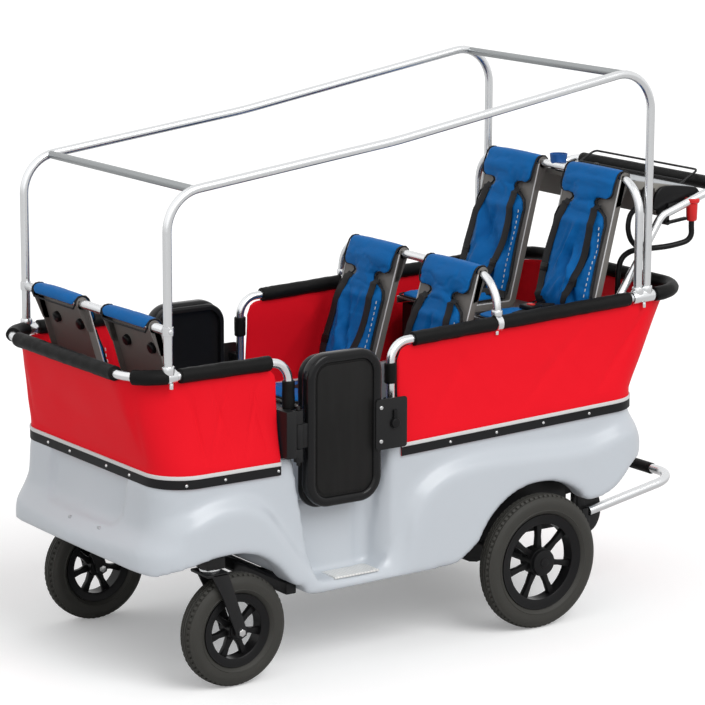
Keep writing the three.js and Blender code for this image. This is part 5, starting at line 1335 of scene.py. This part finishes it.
@dataclass
class CoverPad:
    """The padded T-shaped cover, sewn flat and then laid on each seat."""

    head: float = 109
    neck: float = 48
    body: float = 107
    head_end: float = 136
    neck_end: float = 160
    length: float = 676
    thick: float = 9
    lift: float = 3
    swell: float = 7
    lowest: float = 0.6
    belly: tuple[tuple[float, float, float], ...] = ((395, 62, 15), (466, 11, -9), (212, 15, 6), (290, 40, -4))
    pressure: float = 4
    frames: int = 20
    voxel: float = 5.5

    def outline(self, inset: float = 0) -> list[Pair]:
        """The T's outline as (across, along) pairs."""
        head, neck, body = self.head - inset, self.neck - inset, self.body - inset
        top, foot = self.head_end - inset, self.neck_end + inset
        half = [(head, 26 + inset), (head, top - 16), (head - 5, top - 5), (head - 16, top),
                (neck + 18, top), (neck + 6, top + 5), (neck, top + 14), (neck, foot - 14), (neck + 6, foot - 5),
                (neck + 16, foot + 1), (body - 24, foot + 12), (body - 8, foot + 24), (body, foot + 46),
                (body - 4, 290), (body, 400), (body - 5, 470), (body, 560), (body, self.length - 22),
                (body - 6, self.length - 8 - inset), (body - 20, self.length - inset)]
        start = [(self.head - 10 - inset, 14 + inset)]
        right = start + half
        return right + [(-a, b) for a, b in reversed(right)]

    def flat(self) -> Form:
        form = Form().prism(self.outline(2), self.lift, self.lift + self.thick, Axis.Z, 2)
        form.remesh(self.voxel, 3)
        self._inflate(form)
        return form

    def _inflate(self, form: Form) -> None:
        """Blows the pad up under its cover and keeps each point near its place."""
        bmesh.ops.scale(form.bm, vec=(MILLI,) * 3, verts=form.bm.verts[:])
        obj = form.as_object("pad")
        rest = [v.co.copy() for v in obj.data.vertices]
        step = obj.modifiers.new("cloth", "CLOTH")
        step.settings.use_pressure = True
        step.settings.uniform_pressure_force = self.pressure
        step.settings.effector_weights.gravity = 0
        step.settings.quality = 5
        scene = bpy.context.scene
        for index in range(1, self.frames + 1):
            scene.frame_set(index)
        graph = bpy.context.evaluated_depsgraph_get()
        blown = [v.co.copy() for v in obj.evaluated_get(graph).data.vertices]
        scene.frame_set(1)
        limit, lowest = self.swell * MILLI, self.lowest * MILLI
        for vert, start, end in zip(form.bm.verts, rest, blown):
            shift = end - start
            vert.co = start + shift * min(1, limit / max(shift.length, 1e-9))
            vert.co.z = max(vert.co.z, lowest)
        bmesh.ops.scale(form.bm, vec=(1 / MILLI,) * 3, verts=form.bm.verts[:])
        remove(obj)

    def top(self, across: float, along: float, seed: int) -> float:
        """How far the finished cover's surface stands off the seat's profile at a flat place."""
        half = self.head if along < self.head_end else self.neck if along < self.neck_end + 6 else self.body
        inside = smooth((half - abs(across)) / 9)
        return mix(1.5, self.lift + self.thick + self.swell * 0.8 + self.folds(across, along, seed), inside)

    def folds(self, across: float, along: float, seed: int) -> float:
        """Creases of the worn cloth: long ones down the body, short ones beside the neck."""
        body = smooth((along - self.neck_end) / 40)
        arch = max(0, 1 - (across / self.body) ** 2)
        belly = sum(height * math.exp(-((along - place) / width) ** 2) for place, width, height in self.belly)
        broad = 4 * noise.noise(Vector((across * 0.02 + seed * 3.1, along * 0.008, seed * 1.7)))
        short = noise.noise(Vector((across * 0.012 - seed, along * 0.045, 7.5 + seed)))
        head = 3 * short - 2.5 * math.exp(-(short / 0.08) ** 2)
        return (belly * arch + broad + self._creases(across, along, seed)) * body + head * (1 - 0.6 * body)

    def _creases(self, across: float, along: float, seed: int) -> float:
        """Sharp folds that run down the body from the neck, placed by the seat's seed."""
        total = 0.0
        for k in range(13):
            chance = [abs(math.sin(seed * 12.9 + k * 78.2 + j * 37.7) * 437.58) % 1 for j in range(5)]
            start_a, start_b = mix(-80, 80, chance[0]), mix(170, 400, chance[1])
            lean = mix(-0.55, 0.55, chance[2]) - start_a * 0.002
            run = (along - start_b) * math.cos(lean) + (across - start_a) * math.sin(lean)
            length, width = mix(90, 230, chance[3]), mix(12, 24, chance[4])
            if 0 < run < length:
                aside = (across - start_a) * math.cos(lean) - (along - start_b) * math.sin(lean)
                height = (12 if k % 2 else -12) * max(0, 1 - abs(aside) / width)
                total += height * math.sin(math.pi * run / length)
        return total

    def dress(self, seat: Seat) -> None:
        """Lays the cover on a seat and binds its edge."""
        route = seat.profile()
        form = Form().join(self.sewn())
        for vert in form.bm.verts:
            across, along, out = vert.co
            vert[form.cloth] = (across, along, 0)
            loft = smooth((out - self.lift) / self.thick)
            out += self.folds(across, along, seat.seed) * loft
            out *= mix(0.3, 1, smooth((along - 62) / 46))
            vert.co = seat.wrap(across, along, max(0.4, out), route)
        bmesh.ops.recalc_face_normals(form.bm, faces=form.bm.faces[:])
        node = f"{seat.row}_cushion_{seat.word}"
        cover = form.piece(f"{seat.row}_cover_{seat.word}", Finishes.COVER, nodes=[node], angle=180, level=1)
        edge = [seat.wrap(a, b, (self.lift + self.thick * 0.5) * mix(0.35, 1, smooth((b - 62) / 46)), route)
                for a, b in self._dense_outline()]
        binding = Form().tube(edge, 2.4, 8, closed=True)
        binding.piece(f"{seat.row}_cover_binding_{seat.word}", Finishes.STRAP, angle=80)

    def sewn(self) -> Form:
        """The flat pad, made once."""
        if not hasattr(self, "_sewn"):
            self._sewn = self.flat()
        return self._sewn

    def _dense_outline(self) -> list[Pair]:
        """The outline with points close enough to follow the seat's bends."""
        corners = self.outline()
        dense = []
        for (a0, b0), (a1, b1) in zip(corners, corners[1:] + corners[:1]):
            count = max(1, round(math.hypot(a1 - a0, b1 - b0) / 9))
            dense += [(mix(a0, a1, k / count), mix(b0, b1, k / count)) for k in range(count)]
        return dense


@dataclass
class Seats:
    """All three rows with their bars."""

    rails: Rails
    spacing: float = 172
    middle: Pair = (-121, 933)
    rear: Pair = (341, 1137)

    def build(self) -> None:
        """Builds the bars and the six seats."""
        self._bars()
        pad = CoverPad()
        rows = (("front", FRONT_BAR_X, FRONT_BAR_Z, RIGHT, 16), ("middle", *self.middle, LEFT, 16),
                ("rear", *self.rear, LEFT, 14))
        seed = 1
        for row, x, z, facing, lean in rows:
            for side, word in SIDES.items():
                Seat(row, word, x=x, z=z, y=side * self.spacing, facing=facing, lean=math.radians(lean),
                     seed=seed).build(pad)
                seed += 1

    def _bars(self) -> None:
        """Builds the straight bar and the two hoops."""
        x, z = FRONT_BAR_X, FRONT_BAR_Z
        bar = Form().rod(at(x, -334, z), at(x, 334, z), TUBE_RADIUS, edge=1)
        for side in SIDES:
            bar.lathe([(11.6, -11), (13.6, -10), (14, 0), (13.6, 10), (11.6, 11)], at(x, side * RAIL_HALF, z),
                      Axis.Z, 32)
            bar.rod(at(x, side * 358, z), at(x, side * 363, z), 6, 5, sides=20, edge=0.8)
        bar.piece("front_seat_tube", Finishes.TUBE, nodes=["front_seat_bar"])
        for row, (x, z), rise in (("middle", self.middle, 19), ("rear", self.rear, 20)):
            h, foot = RAIL_HALF, self.rails.rear_at(x) + rise
            route = bent([at(x, -h, foot), at(x, -h, z), at(x, h, z), at(x, h, foot)], [85, 85], 14)
            form = Form().tube(route, TUBE_RADIUS)
            if row == "middle":
                for side in SIDES:
                    y, z0 = side * h, self.rails.rear_at(x)
                    form.rod(at(x, y, foot), at(x, y, foot + 15), 14.5, edge=2)
                    form.lathe([(18.8, -9), (21, -8), (21, 8), (18.8, 9)], at(x, y, z0), Axis.X, 36)
                    form.rod(at(x, y, z0 - 30), at(x, y, z0 - 19), 5, edge=1, sides=16)
            form.piece(f"{row}_seat_tube", Finishes.TUBE, nodes=[f"{row}_seat_hoop"])


@dataclass
class Console:
    """The tray housing behind the rear seats with its wire gallery and cup."""

    half: float = 288
    cup: Pair = (352, 8)
    knob: Pair = (446, -38)

    def build(self) -> None:
        """Builds housing, tray, ends, gallery and cup."""
        section = [(376, 1124), (376, 1102), (448, 1101), (462, 1026), (592, 1071), (592, 1089), (586, 1092),
                   (380, 1127)]
        # The housing's lighter plastic is painted light for its shaded front.
        Form().prism(section, -self.half + 8, self.half - 8, edge=2).piece(
            "console_housing", Finishes.HOUSING_PAINTED_LIGHT, nodes=["console"], angle=20)
        slope = -36 / 216
        tray = Form()
        top = [(384, 1128), (384, 1125.5), (588, 1125.5 + slope * 204), (588, 1128 + slope * 204)]
        tray.prism(top, -self.half + 12, self.half - 12, edge=1)
        tray.piece("console_tray", Finishes.TRAY)
        ends = Form()
        face = [(436, 1055), (451, 1041), (467, 1032), (596, 1066), (594, 1084), (570, 1097), (465, 1104)]
        for side in SIDES:
            ends.prism(softened(face), side * (self.half - 10), side * (self.half + 2), edge=3.5, steps=3)
            ends.lathe([(13, 0), (16, 0), (16, 2.4), (13, 2.4)], at(540, side * (self.half + 1), 1076), Axis.Y, 32)
            ends.block((480, side * 280, 1042), (530, side * 298.5, 1060), 2)
        ends.piece("console_ends", Finishes.PLASTIC)
        wire = bent([at(582, -219, 1091), at(650, -219, 1127), at(650, 219, 1127), at(582, 219, 1091)], [14, 14], 6)
        gallery = Form().tube(wire, 3, 12)
        gallery.tube([at(600, -214, 1101), at(600, 214, 1101)], 2.2, 10)
        gallery.piece("tray_gallery", Finishes.POWDER)
        x, y = self.cup
        cup = Form().lathe([(0, 0), (20, 0), (24, 34), (22.5, 34), (19, 3), (0, 3)], at(x, y, 1133), Axis.Z, 36)
        cup.piece("tray_cup", Finishes.CUP)
        holder = Form().rod(at(x, y, 1126), at(x, y, 1133), 21, edge=1)
        holder.block((352, -6, 1118), (384, 22, 1127), 2)
        holder.piece("cup_holder", Finishes.PLASTIC)
        x, y = self.knob
        knob = Form().rod(at(x, y, 1112), at(x, y, 1128), 4, edge=0.8)
        knob.rod(at(x, y, 1127), at(x, y, 1139), 7, 6, edge=1.2)
        knob.piece("tray_knob", Finishes.PLASTIC)


@dataclass
class Handle:
    """The push handle with grip, cap, brake lever and cables."""

    half: float = 310
    cap_x: float = 552
    lever_x: float = 462
    elbow: Pair = (446, 1032)
    grip: Pair = (650, 1097)

    def height(self, x: float) -> float:
        """Height of the tube's centre line behind its elbow."""
        (x0, z0), (x1, z1) = self.elbow, self.grip
        return mix(z0, z1, (x - x0) / (x1 - x0))

    def build(self) -> None:
        """Builds the handle's parts."""
        h = self.half
        (x0, z0), (x1, z1) = self.elbow, self.grip
        route = bent([at(168, -h, 620), at(x0, -h, z0), at(x1, -h, z1), at(x1, h, z1), at(x0, h, z0),
                      at(168, h, 620)], [50, 34, 34, 50], 12)
        form = Form().tube(route, TUBE_RADIUS)
        for side in SIDES:
            form.block((155, side * 304, 496), (181, side * 337.7, 625), 3)
        form.piece("handle_tube", Finishes.TUBE, nodes=["handle_frame"])
        grip = [at(x1, mix(-272, 272, k / 60), z1) for k in range(61)]
        foam = Form().sleeve(grip, 18.3, 4)
        for vert in foam.bm.verts:
            vert.co += noise.noise_vector(vert.co * 0.05) * 0.5
        foam.piece("handle_foam", Finishes.PAD, nodes=["handle_grip"], angle=60)
        low = self.height(self.cap_x) - 5.5 - 50
        cap = Form().lathe([(0, 0), (12, 0), (14.5, 3), (15.5, 46), (20, 50), (20.5, 57), (18, 60), (0, 60)],
                           at(self.cap_x, -h, low), Axis.Z, 40)
        cap.piece("handle_cap", Finishes.RED)
        ears = Form()
        x, z = self.lever_x, self.height(self.lever_x) - 22
        for side in SIDES:
            y = -h + side * 8.3
            ears.rod(at(x, y - 2, z), at(x, y + 2, z), 8, edge=0.6)
            ears.block((x - 8, y - 2, z), (x + 4, y + 2, z + 17), 0.6)
        ears.rod(at(x, -h - 8.3, z), at(x, -h + 8.3, z), 4)
        ears.piece("lever_ears", Finishes.POWDER)
        self._cables(low)

    def _cables(self, low: float) -> None:
        """Builds the fastened cable and the short loop behind it."""
        h = self.half
        x = self.cap_x
        places = [(x, -h, low - 0.3), (x, -h, low - 14), (x, -h, 972), (540, -307, 957), (516, -301, 950),
                  (484, -293, 945), (452, -285, 943), (403, -280, 943), (372, -278, 940), (351, -276, 930),
                  (341, -274, 916), (338, -272, 898), (337, -270, 870), (337, -270, 710)]
        cable = Form().tube(flowing([at(*p) for p in places], 5), 7.6, 16)
        cable.piece("handle_cable", Finishes.PLASTIC, nodes=["control_cable"])
        loop = [(413, -278, 1104), (400, -288, 1086), (384, -296, 1070), (363, -300, 1055), (348, -300, 1040),
                (342, -300, 1011), (350, -300, 981), (366, -303, 961), (388, -308, 950)]
        Form().tube(flowing([at(*p) for p in loop], 5), 7, 16).piece("cable_loop", Finishes.PLASTIC)
        gland = Form().rod(at(337, -270, 716), at(337, -270, 742), 11, 9, edge=1.5)
        gland.piece("cable_gland", Finishes.PLASTIC)


@dataclass
class Chassis:
    """The frame under the tub, the rear bumper and the step plates."""

    bumper_x: float = 574
    bumper_z: float = 296
    bumper_half: float = 250

    def build(self) -> None:
        """Dresses the hidden frame and builds the bumper, the step plates and the black arch plates of painted shade.
        """
        for node, finish in (("drive_unit", Finishes.POWDER), ("seat_box", Finishes.PLASTIC),
                             ("brake_lever", Finishes.PLASTIC)):
            dress_node(node, finish)
        self._frame()
        x, z, h = self.bumper_x, self.bumper_z, self.bumper_half
        route = bent([at(269, -h, 242), at(x, -h, z), at(x, h, z), at(269, h, 242)], [70, 70], 16)
        Form().tube(route, 12.4).piece("bumper_tube", Finishes.TUBE, nodes=["rear_bumper"])
        sleeve = [at(x, mix(-150, 150, k / 30), z - 1) for k in range(31)]
        Form().sleeve(sleeve, 15.5, 2).piece("bumper_sleeve", Finishes.PAD)
        for side, word in SIDES.items():
            # Black plates behind the rear wheels: painted shade, dark sheets that stand for the shade inside the
            # arches and under the tub.
            arch_shade = Form().prism([(-212, 236), (150, 236), (150, 391), (-212, 391)], side * 298, side * 302, edge=1)
            arch_shade.prism([(150, 284), (262, 296), (300, 391), (150, 391)], side * 220, side * 224, edge=1)
            arch_shade.block((146, side * 220, 284), (150, side * 302, 391), 1)
            arch_shade.piece(f"wheel_arch_shade_{word}", Finishes.POWDER)
            plate = Form().block((-640, side * 314, 233.4), (-508, side * 383, 238.6), 1)
            for x in (-630, -518):
                plate.rod(at(x, side * 374, 238), at(x, side * 374, 240), 3.4, sides=14)
            plate.piece(f"step_plate_{word}", Finishes.PLATE, nodes=[f"tread_plate_{word}"])

    def _frame(self) -> None:
        """Builds the welded frame of square tubes with its posts, bearings and bumper plates."""
        form = Form()
        form.block((-1001, -366, 307), (-949, 366, 337), 3)
        form.block((-760, -345, 203), (-730, 345, 233), 3)
        form.block((235, -265, 203), (265, 265, 233), 3)
        # Side member, rear post, axle bearing, middle post, front post and outer bumper plate, as x, |y| and z ranges.
        posts = ((-745, 265, 185, 215, 203, 233), (239, 265, 210, 240, 203, 391.7), (-13, 13, 185, 215, 193.3, 233),
                 (-410, -380, 185, 215, 203, 534.3), (-990, -960, 75, 105, 307, 504.3),
                 (236, 256, 262.8, 266.8, 203, 256))
        plate = softened([(233, 286), (304, 286), (322, 236), (306, 192), (268, 176), (233, 196)], 5)
        for side in SIDES:
            form.prism([(-975, 307), (-745, 203), (-745, 233), (-975, 337)], side * 75, side * 105, edge=2)
            form.rod(at(SWIVEL_X, side * CASTER_Y, 300.3), at(SWIVEL_X, side * CASTER_Y, 322), 24, edge=1)
            form.prism(plate, side * 233.2, side * 237.2, edge=1)
            for x0, x1, y0, y1, z0, z1 in posts:
                form.block((x0, side * y0, z0), (x1, side * y1, z1), 1.2)
        form.piece("welded_frame", Finishes.POWDER, nodes=["chassis_frame"])


@dataclass
class Wheel:
    """A spoked wheel with its tyre."""

    name: str
    body: str
    rim_node: str
    tyre_node: str
    x: float
    y: float
    radius: float
    width: float
    bead: float
    opening: float
    hub: float
    side: int
    blocks: int
    cap: float
    spokes: int = 7

    def centre(self) -> Vector:
        """The wheel's middle."""
        return at(self.x, self.y, self.radius)

    def build(self) -> None:
        """Builds the tyre and the rim."""
        self._tyre()
        self._rim()

    def _tyre(self) -> None:
        """Builds the tyre with grooves round it and blocks on its shoulders."""
        r, b, h = self.radius, self.bead, self.width / 2
        seat = h * 0.64
        half = [(b + 0.5, seat), (b + 2.5, seat + 2.5), (mix(b, r, 0.16), h * 0.9), (mix(b, r, 0.22), h * 0.97),
                (mix(b, r, 0.25), h * 0.93), (mix(b, r, 0.5), h), (mix(b, r, 0.7), h * 0.95),
                (mix(b, r, 0.74), h * 0.9), (mix(b, r, 0.88), h * 0.76), (r - 6, h * 0.5),
                (r - 5.4, h * 0.42), (r - 1, h * 0.4), (r - 1, h * 0.34), (r - 3.4, h * 0.31), (r - 3.4, h * 0.25),
                (r - 0.2, h * 0.21), (r, h * 0.06), (r - 3, h * 0.03)]
        profile = half + [(a, -c) for a, c in reversed(half)]
        form = Form().lathe(profile, self.centre(), Axis.Y, 96)
        unit = Form()
        wide = r * math.pi / self.blocks * 0.58
        unit.block((-wide, h * 0.43, r - 9), (wide, h * 0.86, r - 0.8), 0.8, 1)
        for vert in unit.bm.verts:
            out = max(0, (abs(vert.co.y) - h * 0.43) / (h * 0.43))
            vert.co.z -= out * out * r * 0.075
            vert.co.x += out * wide * 0.7
        for k in range(self.blocks):
            for side in SIDES:
                turn = Matrix.Rotation(2 * math.pi * (k + 0.25 * side) / self.blocks, 4, "Y")
                flip = Matrix.Diagonal((1, side, 1, 1))
                form.join(unit, Matrix.Translation(self.centre()) @ turn @ flip)
        form.piece(f"{self.name}_tyre_skin", Finishes.TYRE, self.body, [self.tyre_node], angle=35)

    def _rim(self) -> None:
        """Builds the ring, the tapered spokes and the hub."""
        b, o, h = self.bead, self.opening, self.width / 2 * 0.78
        ring = [(o, -h * 0.8), (o + 4, -h * 0.9), (b - 6, -h * 0.92), (b, -h), (b + 0.2, -h * 0.9), (b + 0.2, h * 0.9),
                (b, h), (b - 6, h * 0.92), (o + 4, h * 0.9), (o, h * 0.8)]
        form = Form().lathe(ring, self.centre(), Axis.Y, 80)
        reach = self.width * 0.45
        hub = self.hub
        outer = self.side * (reach + self.cap)
        form.rod(self.centre() - Vector((0, self.side * reach, 0)), self.centre() + Vector((0, outer, 0)), hub * 0.92,
                 edge=3, sides=40)
        form.lathe([(hub * 0.6, -reach * 0.9), (hub, -reach * 0.8), (hub, reach * 0.8), (hub * 0.6, reach * 0.9)],
                   self.centre(), Axis.Y, 40)
        spoke = Form()
        inner, outer_r = hub * 0.8, o + 2
        spoke.prism([(inner, -9.5), (mix(inner, outer_r, 0.5), -6.2), (outer_r, -9.5), (outer_r, 9.5),
                     (mix(inner, outer_r, 0.5), 6.2), (inner, 9.5)], -8, 8, Axis.Y, 2)
        for k in range(self.spokes):
            turn = Matrix.Rotation(2 * math.pi * (k + 0.25) / self.spokes, 4, "Y")
            form.join(spoke, Matrix.Translation(self.centre()) @ turn)
        form.piece(f"{self.name}_spoked_rim", Finishes.PLASTIC, self.body, [self.rim_node], angle=40)
        if self.cap:
            face = self.y + outer
            bolt = Form().rod(at(self.x, face - self.side, self.radius),
                              at(self.x, face + self.side * 2.2, self.radius), hub * 0.34, edge=1)
            bolt.piece(f"{self.name}_hub_cap", Finishes.PLASTIC, self.body)


class Wheels:
    """The four wheels and the two caster forks."""

    def build(self) -> None:
        """Builds wheels and forks on both sides."""
        for side, word in SIDES.items():
            rear = {"x": 0, "y": side * REAR_WHEEL_Y, "radius": REAR_WHEEL_RADIUS, "width": 54, "bead": 126,
                    "opening": 101, "hub": 37, "blocks": 72, "cap": 6}
            front = {"x": CASTER_X, "y": side * CASTER_Y, "radius": CASTER_RADIUS, "width": 58, "bead": 92,
                     "opening": 71, "hub": 24, "blocks": 58, "cap": 0}
            for end, sizes in (("rear", rear), ("front", front)):
                Wheel(f"{end}_{word}", f"{end}_wheel_{word}", f"{end}_rim_{word}", f"{end}_tyre_{word}",
                      side=side, **sizes).build()
            self._fork(side, word)

    def _fork(self, side: int, word: str) -> None:
        """Builds a caster fork: crown, two legs and the axle bolt."""
        y, z = side * CASTER_Y, CASTER_RADIUS
        s, a = SWIVEL_X, CASTER_X
        form = Form().block((s - 31, y - 41, 292), (s + 31, y + 41, 300), 2.5)
        leg = [(s - 15, 300), (s - 15, 290), (s + 12, 236), (a - 17, 146), (a - 14, 132), (a, 125), (a + 14, 132),
               (a + 17, 142), (s + 30, 290), (s + 22, 300)]
        for face in SIDES:
            form.prism(leg, y + face * 35, y + face * 41, edge=1.2)
            form.rod(at(a, y + face * 26.4, z), at(a, y + face * 38, z), 11, edge=0.8)
        form.rod(at(a, y - 43, z), at(a, y + 43, z), 6)
        form.rod(at(s, y, 300), at(s, y, 286), 22, 20, edge=1.5)
        form.piece(f"fork_{word}", Finishes.POWDER, f"caster_{word}", [f"caster_fork_{word}"])
        ring = Form().rod(at(s, y, 300.6), at(s, y, 306.8), 27, edge=0.8)
        ring.piece(f"swivel_ring_{word}", Finishes.TUBE)
        nuts = Form()
        for face in SIDES:
            nuts.rod(at(a, y + face * 40.8, z), at(a, y + face * 46, z), 10.5, 9.5, sides=6, edge=0.8)
        nuts.piece(f"fork_nuts_{word}", Finishes.BOLT, f"caster_{word}")


@dataclass
class Doors:
    """The two side doors with rims, latch plates and turning latches."""

    front: float = -724
    rear: float = -503
    low: float = 421
    high: float = 806
    outer: float = 389
    inner: float = 352
    latch_x: float = -472
    latch_z: float = 611

    def build(self) -> None:
        """Builds both doors."""
        for side, word in SIDES.items():
            self._door(side, word)
            self._latch(side, word)

    def _outline(self, inset: float, low: float, high: float, radius: float, steps: int = 10) -> list[Pair]:
        """A rounded outline between two heights, inside the door's front and rear edges."""
        return rounded(self.front + inset, self.rear - inset, low, high, radius, steps)

    def _door(self, side: int, word: str) -> None:
        """Builds the panel, its rounded rim, the knuckle and the latch plate."""
        body = f"door_body_{word}"
        mid = side * (self.inner + self.outer) / 2
        outline = self._outline(13, self.low + 13, self.high - 13, 50, 14)
        half = (self.outer - self.inner) / 2
        section = [(13 * math.copysign(abs(math.cos(t)) ** 0.7, math.cos(t)),
                    half * math.copysign(abs(math.sin(t)) ** 0.6, math.sin(t)))
                   for t in (2 * math.pi * k / 20 for k in range(20))]
        route = [at(a, mid, b) for a, b in outline]
        form = Form().sweep(route, section, closed=True, up=Vector((0, 1, 0)))
        form.piece(f"door_rim_{word}", Finishes.RIM, body, [f"door_{word}"], angle=60)
        board = Form().prism(self._outline(16, self.low + 16, self.high - 16, 46),
                             side * (self.inner + 8), side * (self.outer - 9))
        board.prism(self._outline(30, self.low + 30, self.high - 30, 34),
                    side * (self.outer - 9), side * (self.outer - 7), edge=1.2)
        board.prism(self._outline(18, self.low + 9, 600, 38), side * (self.inner - 10), side * (self.inner - 3),
                    edge=2)
        board.piece(f"door_board_{word}", Finishes.BOARD, body, angle=40)
        tray = Form().prism(self._outline(3, self.low - 6, self.high - 8, 52, 12),
                            side * (self.inner - 19), side * (self.inner + 4), edge=7, steps=4)
        hollow = Form().prism(self._outline(17, self.low + 8, self.high - 22, 40, 12),
                              side * (self.inner - 24), side * (self.inner - 4), edge=3)
        tray.combine(hollow, Cut.REMOVE).piece(f"door_tray_{word}", Finishes.PLASTIC, body, angle=60)
        # A thin pale grey ledge on the black door's inner panel: a painted highlight along the panel's top edge.
        ledge = Form().prism(self._outline(18, 599, 605, 2.5, 3), side * (self.inner - 16), side * (self.inner - 3),
                             edge=0.8)
        ledge.piece(f"door_highlight_ledge_{word}", Finishes.DARK_BAR, body)
        iron = Form()
        y = side * HINGE_Y
        iron.rod(at(HINGE_X, y, 579.4), at(HINGE_X, y, 640.6), HINGE_RADIUS, edge=1.5)
        iron.block((HINGE_X, y - side * 7, 579.6), (-712, y + side * 7, 640.4), 1.5)
        plate = rounded(-527, -433, 546, 674, 8, 6)
        iron.prism(plate, side * (self.outer - 0.3), side * (self.outer + 5), edge=1)
        iron.block((-459, side * 357.9, 572), (-438, side * self.outer, 648), 1)
        iron.piece(f"door_iron_{word}", Finishes.POWDER, body)
        screws = Form()
        for z in (653, 568):
            start = at(-512, side * (self.outer + 4.8), z)
            screws.rod(start, start + Vector((0, side * 3, 0)), 6, 4.5, edge=0.8, sides=20)
        screws.piece(f"plate_screws_{word}", Finishes.BOLT, body)

    def _latch(self, side: int, word: str) -> None:
        """Builds the turning latch: a knob with a ring and an arm."""
        face = self.outer + 5.3
        x, z = self.latch_x, self.latch_z
        form = Form().rod(at(x, side * face, z), at(x, side * (face + 9.6), z), 14, 12, edge=1.5)
        form.block((x - 6, side * face, z), (x + 6, side * (face + 7), z + 34), 2)
        form.piece(f"latch_{word}", Finishes.PLASTIC, f"latch_{word}", [f"door_latch_{word}"])
        ring = Form().lathe([(8, 0), (10, 0), (10, 1.5), (8, 1.5)], at(x, side * (face + 8.6), z), Axis.Y, 30)
        ring.piece(f"latch_ring_{word}", Finishes.BOLT, f"latch_{word}")


def dress_node(name: str, finish: Finish) -> None:
    """Gives a solid that stays in view its finish."""
    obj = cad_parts[name]
    obj.data.materials.clear()
    obj.data.materials.append(finish.material())


@dataclass
class Studio:
    """The floor, the lamps, the sky and the camera."""

    place: tuple[float, float, float] = (-4.40156, -6.25983, 2.32259)
    right: tuple[float, float, float] = (0.82238758, -0.56891398, 0.00394322)
    up: tuple[float, float, float] = (0.11533224, 0.17349635, 0.97805802)
    ahead: tuple[float, float, float] = (0.55711502, 0.80388799, -0.20829536)
    lens: float = 153.213
    sky: float = 0.6
    sun: float = 1.6
    fill: float = 0.3

    def build(self) -> None:
        """Sets up the studio."""
        scene = bpy.context.scene
        camera = bpy.data.objects.new("camera", bpy.data.cameras.new("camera"))
        scene.collection.objects.link(camera)
        camera.data.lens = self.lens
        camera.data.sensor_width = 36
        camera.data.clip_end = 200
        back = Vector(self.ahead) * -1
        turn = Matrix((Vector(self.right), Vector(self.up), back)).transposed().to_4x4()
        camera.matrix_world = Matrix.Translation(self.place) @ turn
        scene.camera = camera
        self._floor(scene)
        self._lamps(scene)
        self._world(scene)
        scene.view_settings.view_transform = "Standard"

    def _floor(self, scene: bpy.types.Scene) -> None:
        """A large pale floor that keeps the shadow."""
        mesh = bpy.data.meshes.new("floor")
        plane = bmesh.new()
        bmesh.ops.create_grid(plane, x_segments=1, y_segments=1, size=60)
        plane.to_mesh(mesh)
        floor = bpy.data.objects.new("floor", mesh)
        scene.collection.objects.link(floor)
        recipe = Recipe("floor_paper")
        seen = recipe.node("ShaderNodeLightPath", output=0)
        recipe.feed("Base Color", recipe.tint(seen, (0.7, 0.7, 0.7), (0.9, 0.9, 0.9)))
        recipe.feed("Emission Color", recipe.tint(seen, (0, 0, 0), (0.2, 0.2, 0.2)))
        recipe.feed("Emission Strength", 1.0)
        recipe.feed("Roughness", 0.9)
        recipe.feed("Specular IOR Level", 0.0)
        mesh.materials.append(recipe.material)

    def _lamps(self, scene: bpy.types.Scene) -> None:
        """A soft high lamp and two weak ones."""
        lamps = (("key", self.sun, 40, (0.1, -0.8, 0.72)), ("fill", self.fill, 80, (-0.7, 0.35, 0.8)),
                 ("front", self.fill, 60, (-0.6, -0.7, 0.4)))
        for name, strength, width, aim in lamps:
            lamp = bpy.data.lights.new(name, "SUN")
            lamp.energy = strength
            lamp.angle = math.radians(width)
            obj = bpy.data.objects.new(name, lamp)
            obj.rotation_mode = "QUATERNION"
            obj.rotation_quaternion = Vector(aim).to_track_quat("Z", "Y")
            scene.collection.objects.link(obj)

    def _world(self, scene: bpy.types.Scene) -> None:
        """A plain sky that is white for the camera and in reflections."""
        world = bpy.data.worlds.new("sky")
        world.use_nodes = True
        scene.world = world
        tree = world.node_tree
        backdrop = tree.nodes["Background"]
        path = tree.nodes.new("ShaderNodeLightPath")
        white = path.outputs["Is Camera Ray"]
        for ray in ("Is Glossy Ray", "Is Transmission Ray"):
            larger = tree.nodes.new("ShaderNodeMath")
            larger.operation = "MAXIMUM"
            tree.links.new(white, larger.inputs[0])
            tree.links.new(path.outputs[ray], larger.inputs[1])
            white = larger.outputs[0]
        scale = tree.nodes.new("ShaderNodeMapRange")
        scale.inputs["To Min"].default_value = self.sky
        scale.inputs["To Max"].default_value = 1.0
        tree.links.new(white, scale.inputs["Value"])
        tree.links.new(scale.outputs[0], backdrop.inputs["Strength"])
        backdrop.inputs["Color"].default_value = (1, 1, 1, 1)


def main() -> None:
    """Builds the studio and the wagon."""
    logging.basicConfig(level=logging.INFO, format="%(message)s")
    noise.seed_set(FOLD_SEED)
    Studio().build()
    rails = Rails()
    tub = Tub()
    tub.build()
    rails.build()
    FabricWall("front_wall", "front_panel", door_x=-790, end_x=-1110.8, top_end_x=-1171, bottom=lambda x: 516,
               rail=lambda x: rails.front_z, rim=tub.top_at, seed=1,
               studs=((-949, 0), (-797, 0), (-1116.6, 90), (-1116.6, 200), (-1058, 0))).build()
    FabricWall("rear_wall", "rear_panel", door_x=-430, end_x=350.8, top_end_x=511,
               bottom=lambda x: 514 + 26 * (x + 430) / 780, rail=rails.rear_at, rim=tub.top_at, seed=5,
               studs=((-280, 0), (-134, 0), (17, 0), (168, 0), (356.6, 110))).build()
    Canopy(rails).build()
    Seats(rails).build()
    Console().build()
    Handle().build()
    Chassis().build()
    Wheels().build()
    Doors().build()


if __name__ == "__main__":
    main()
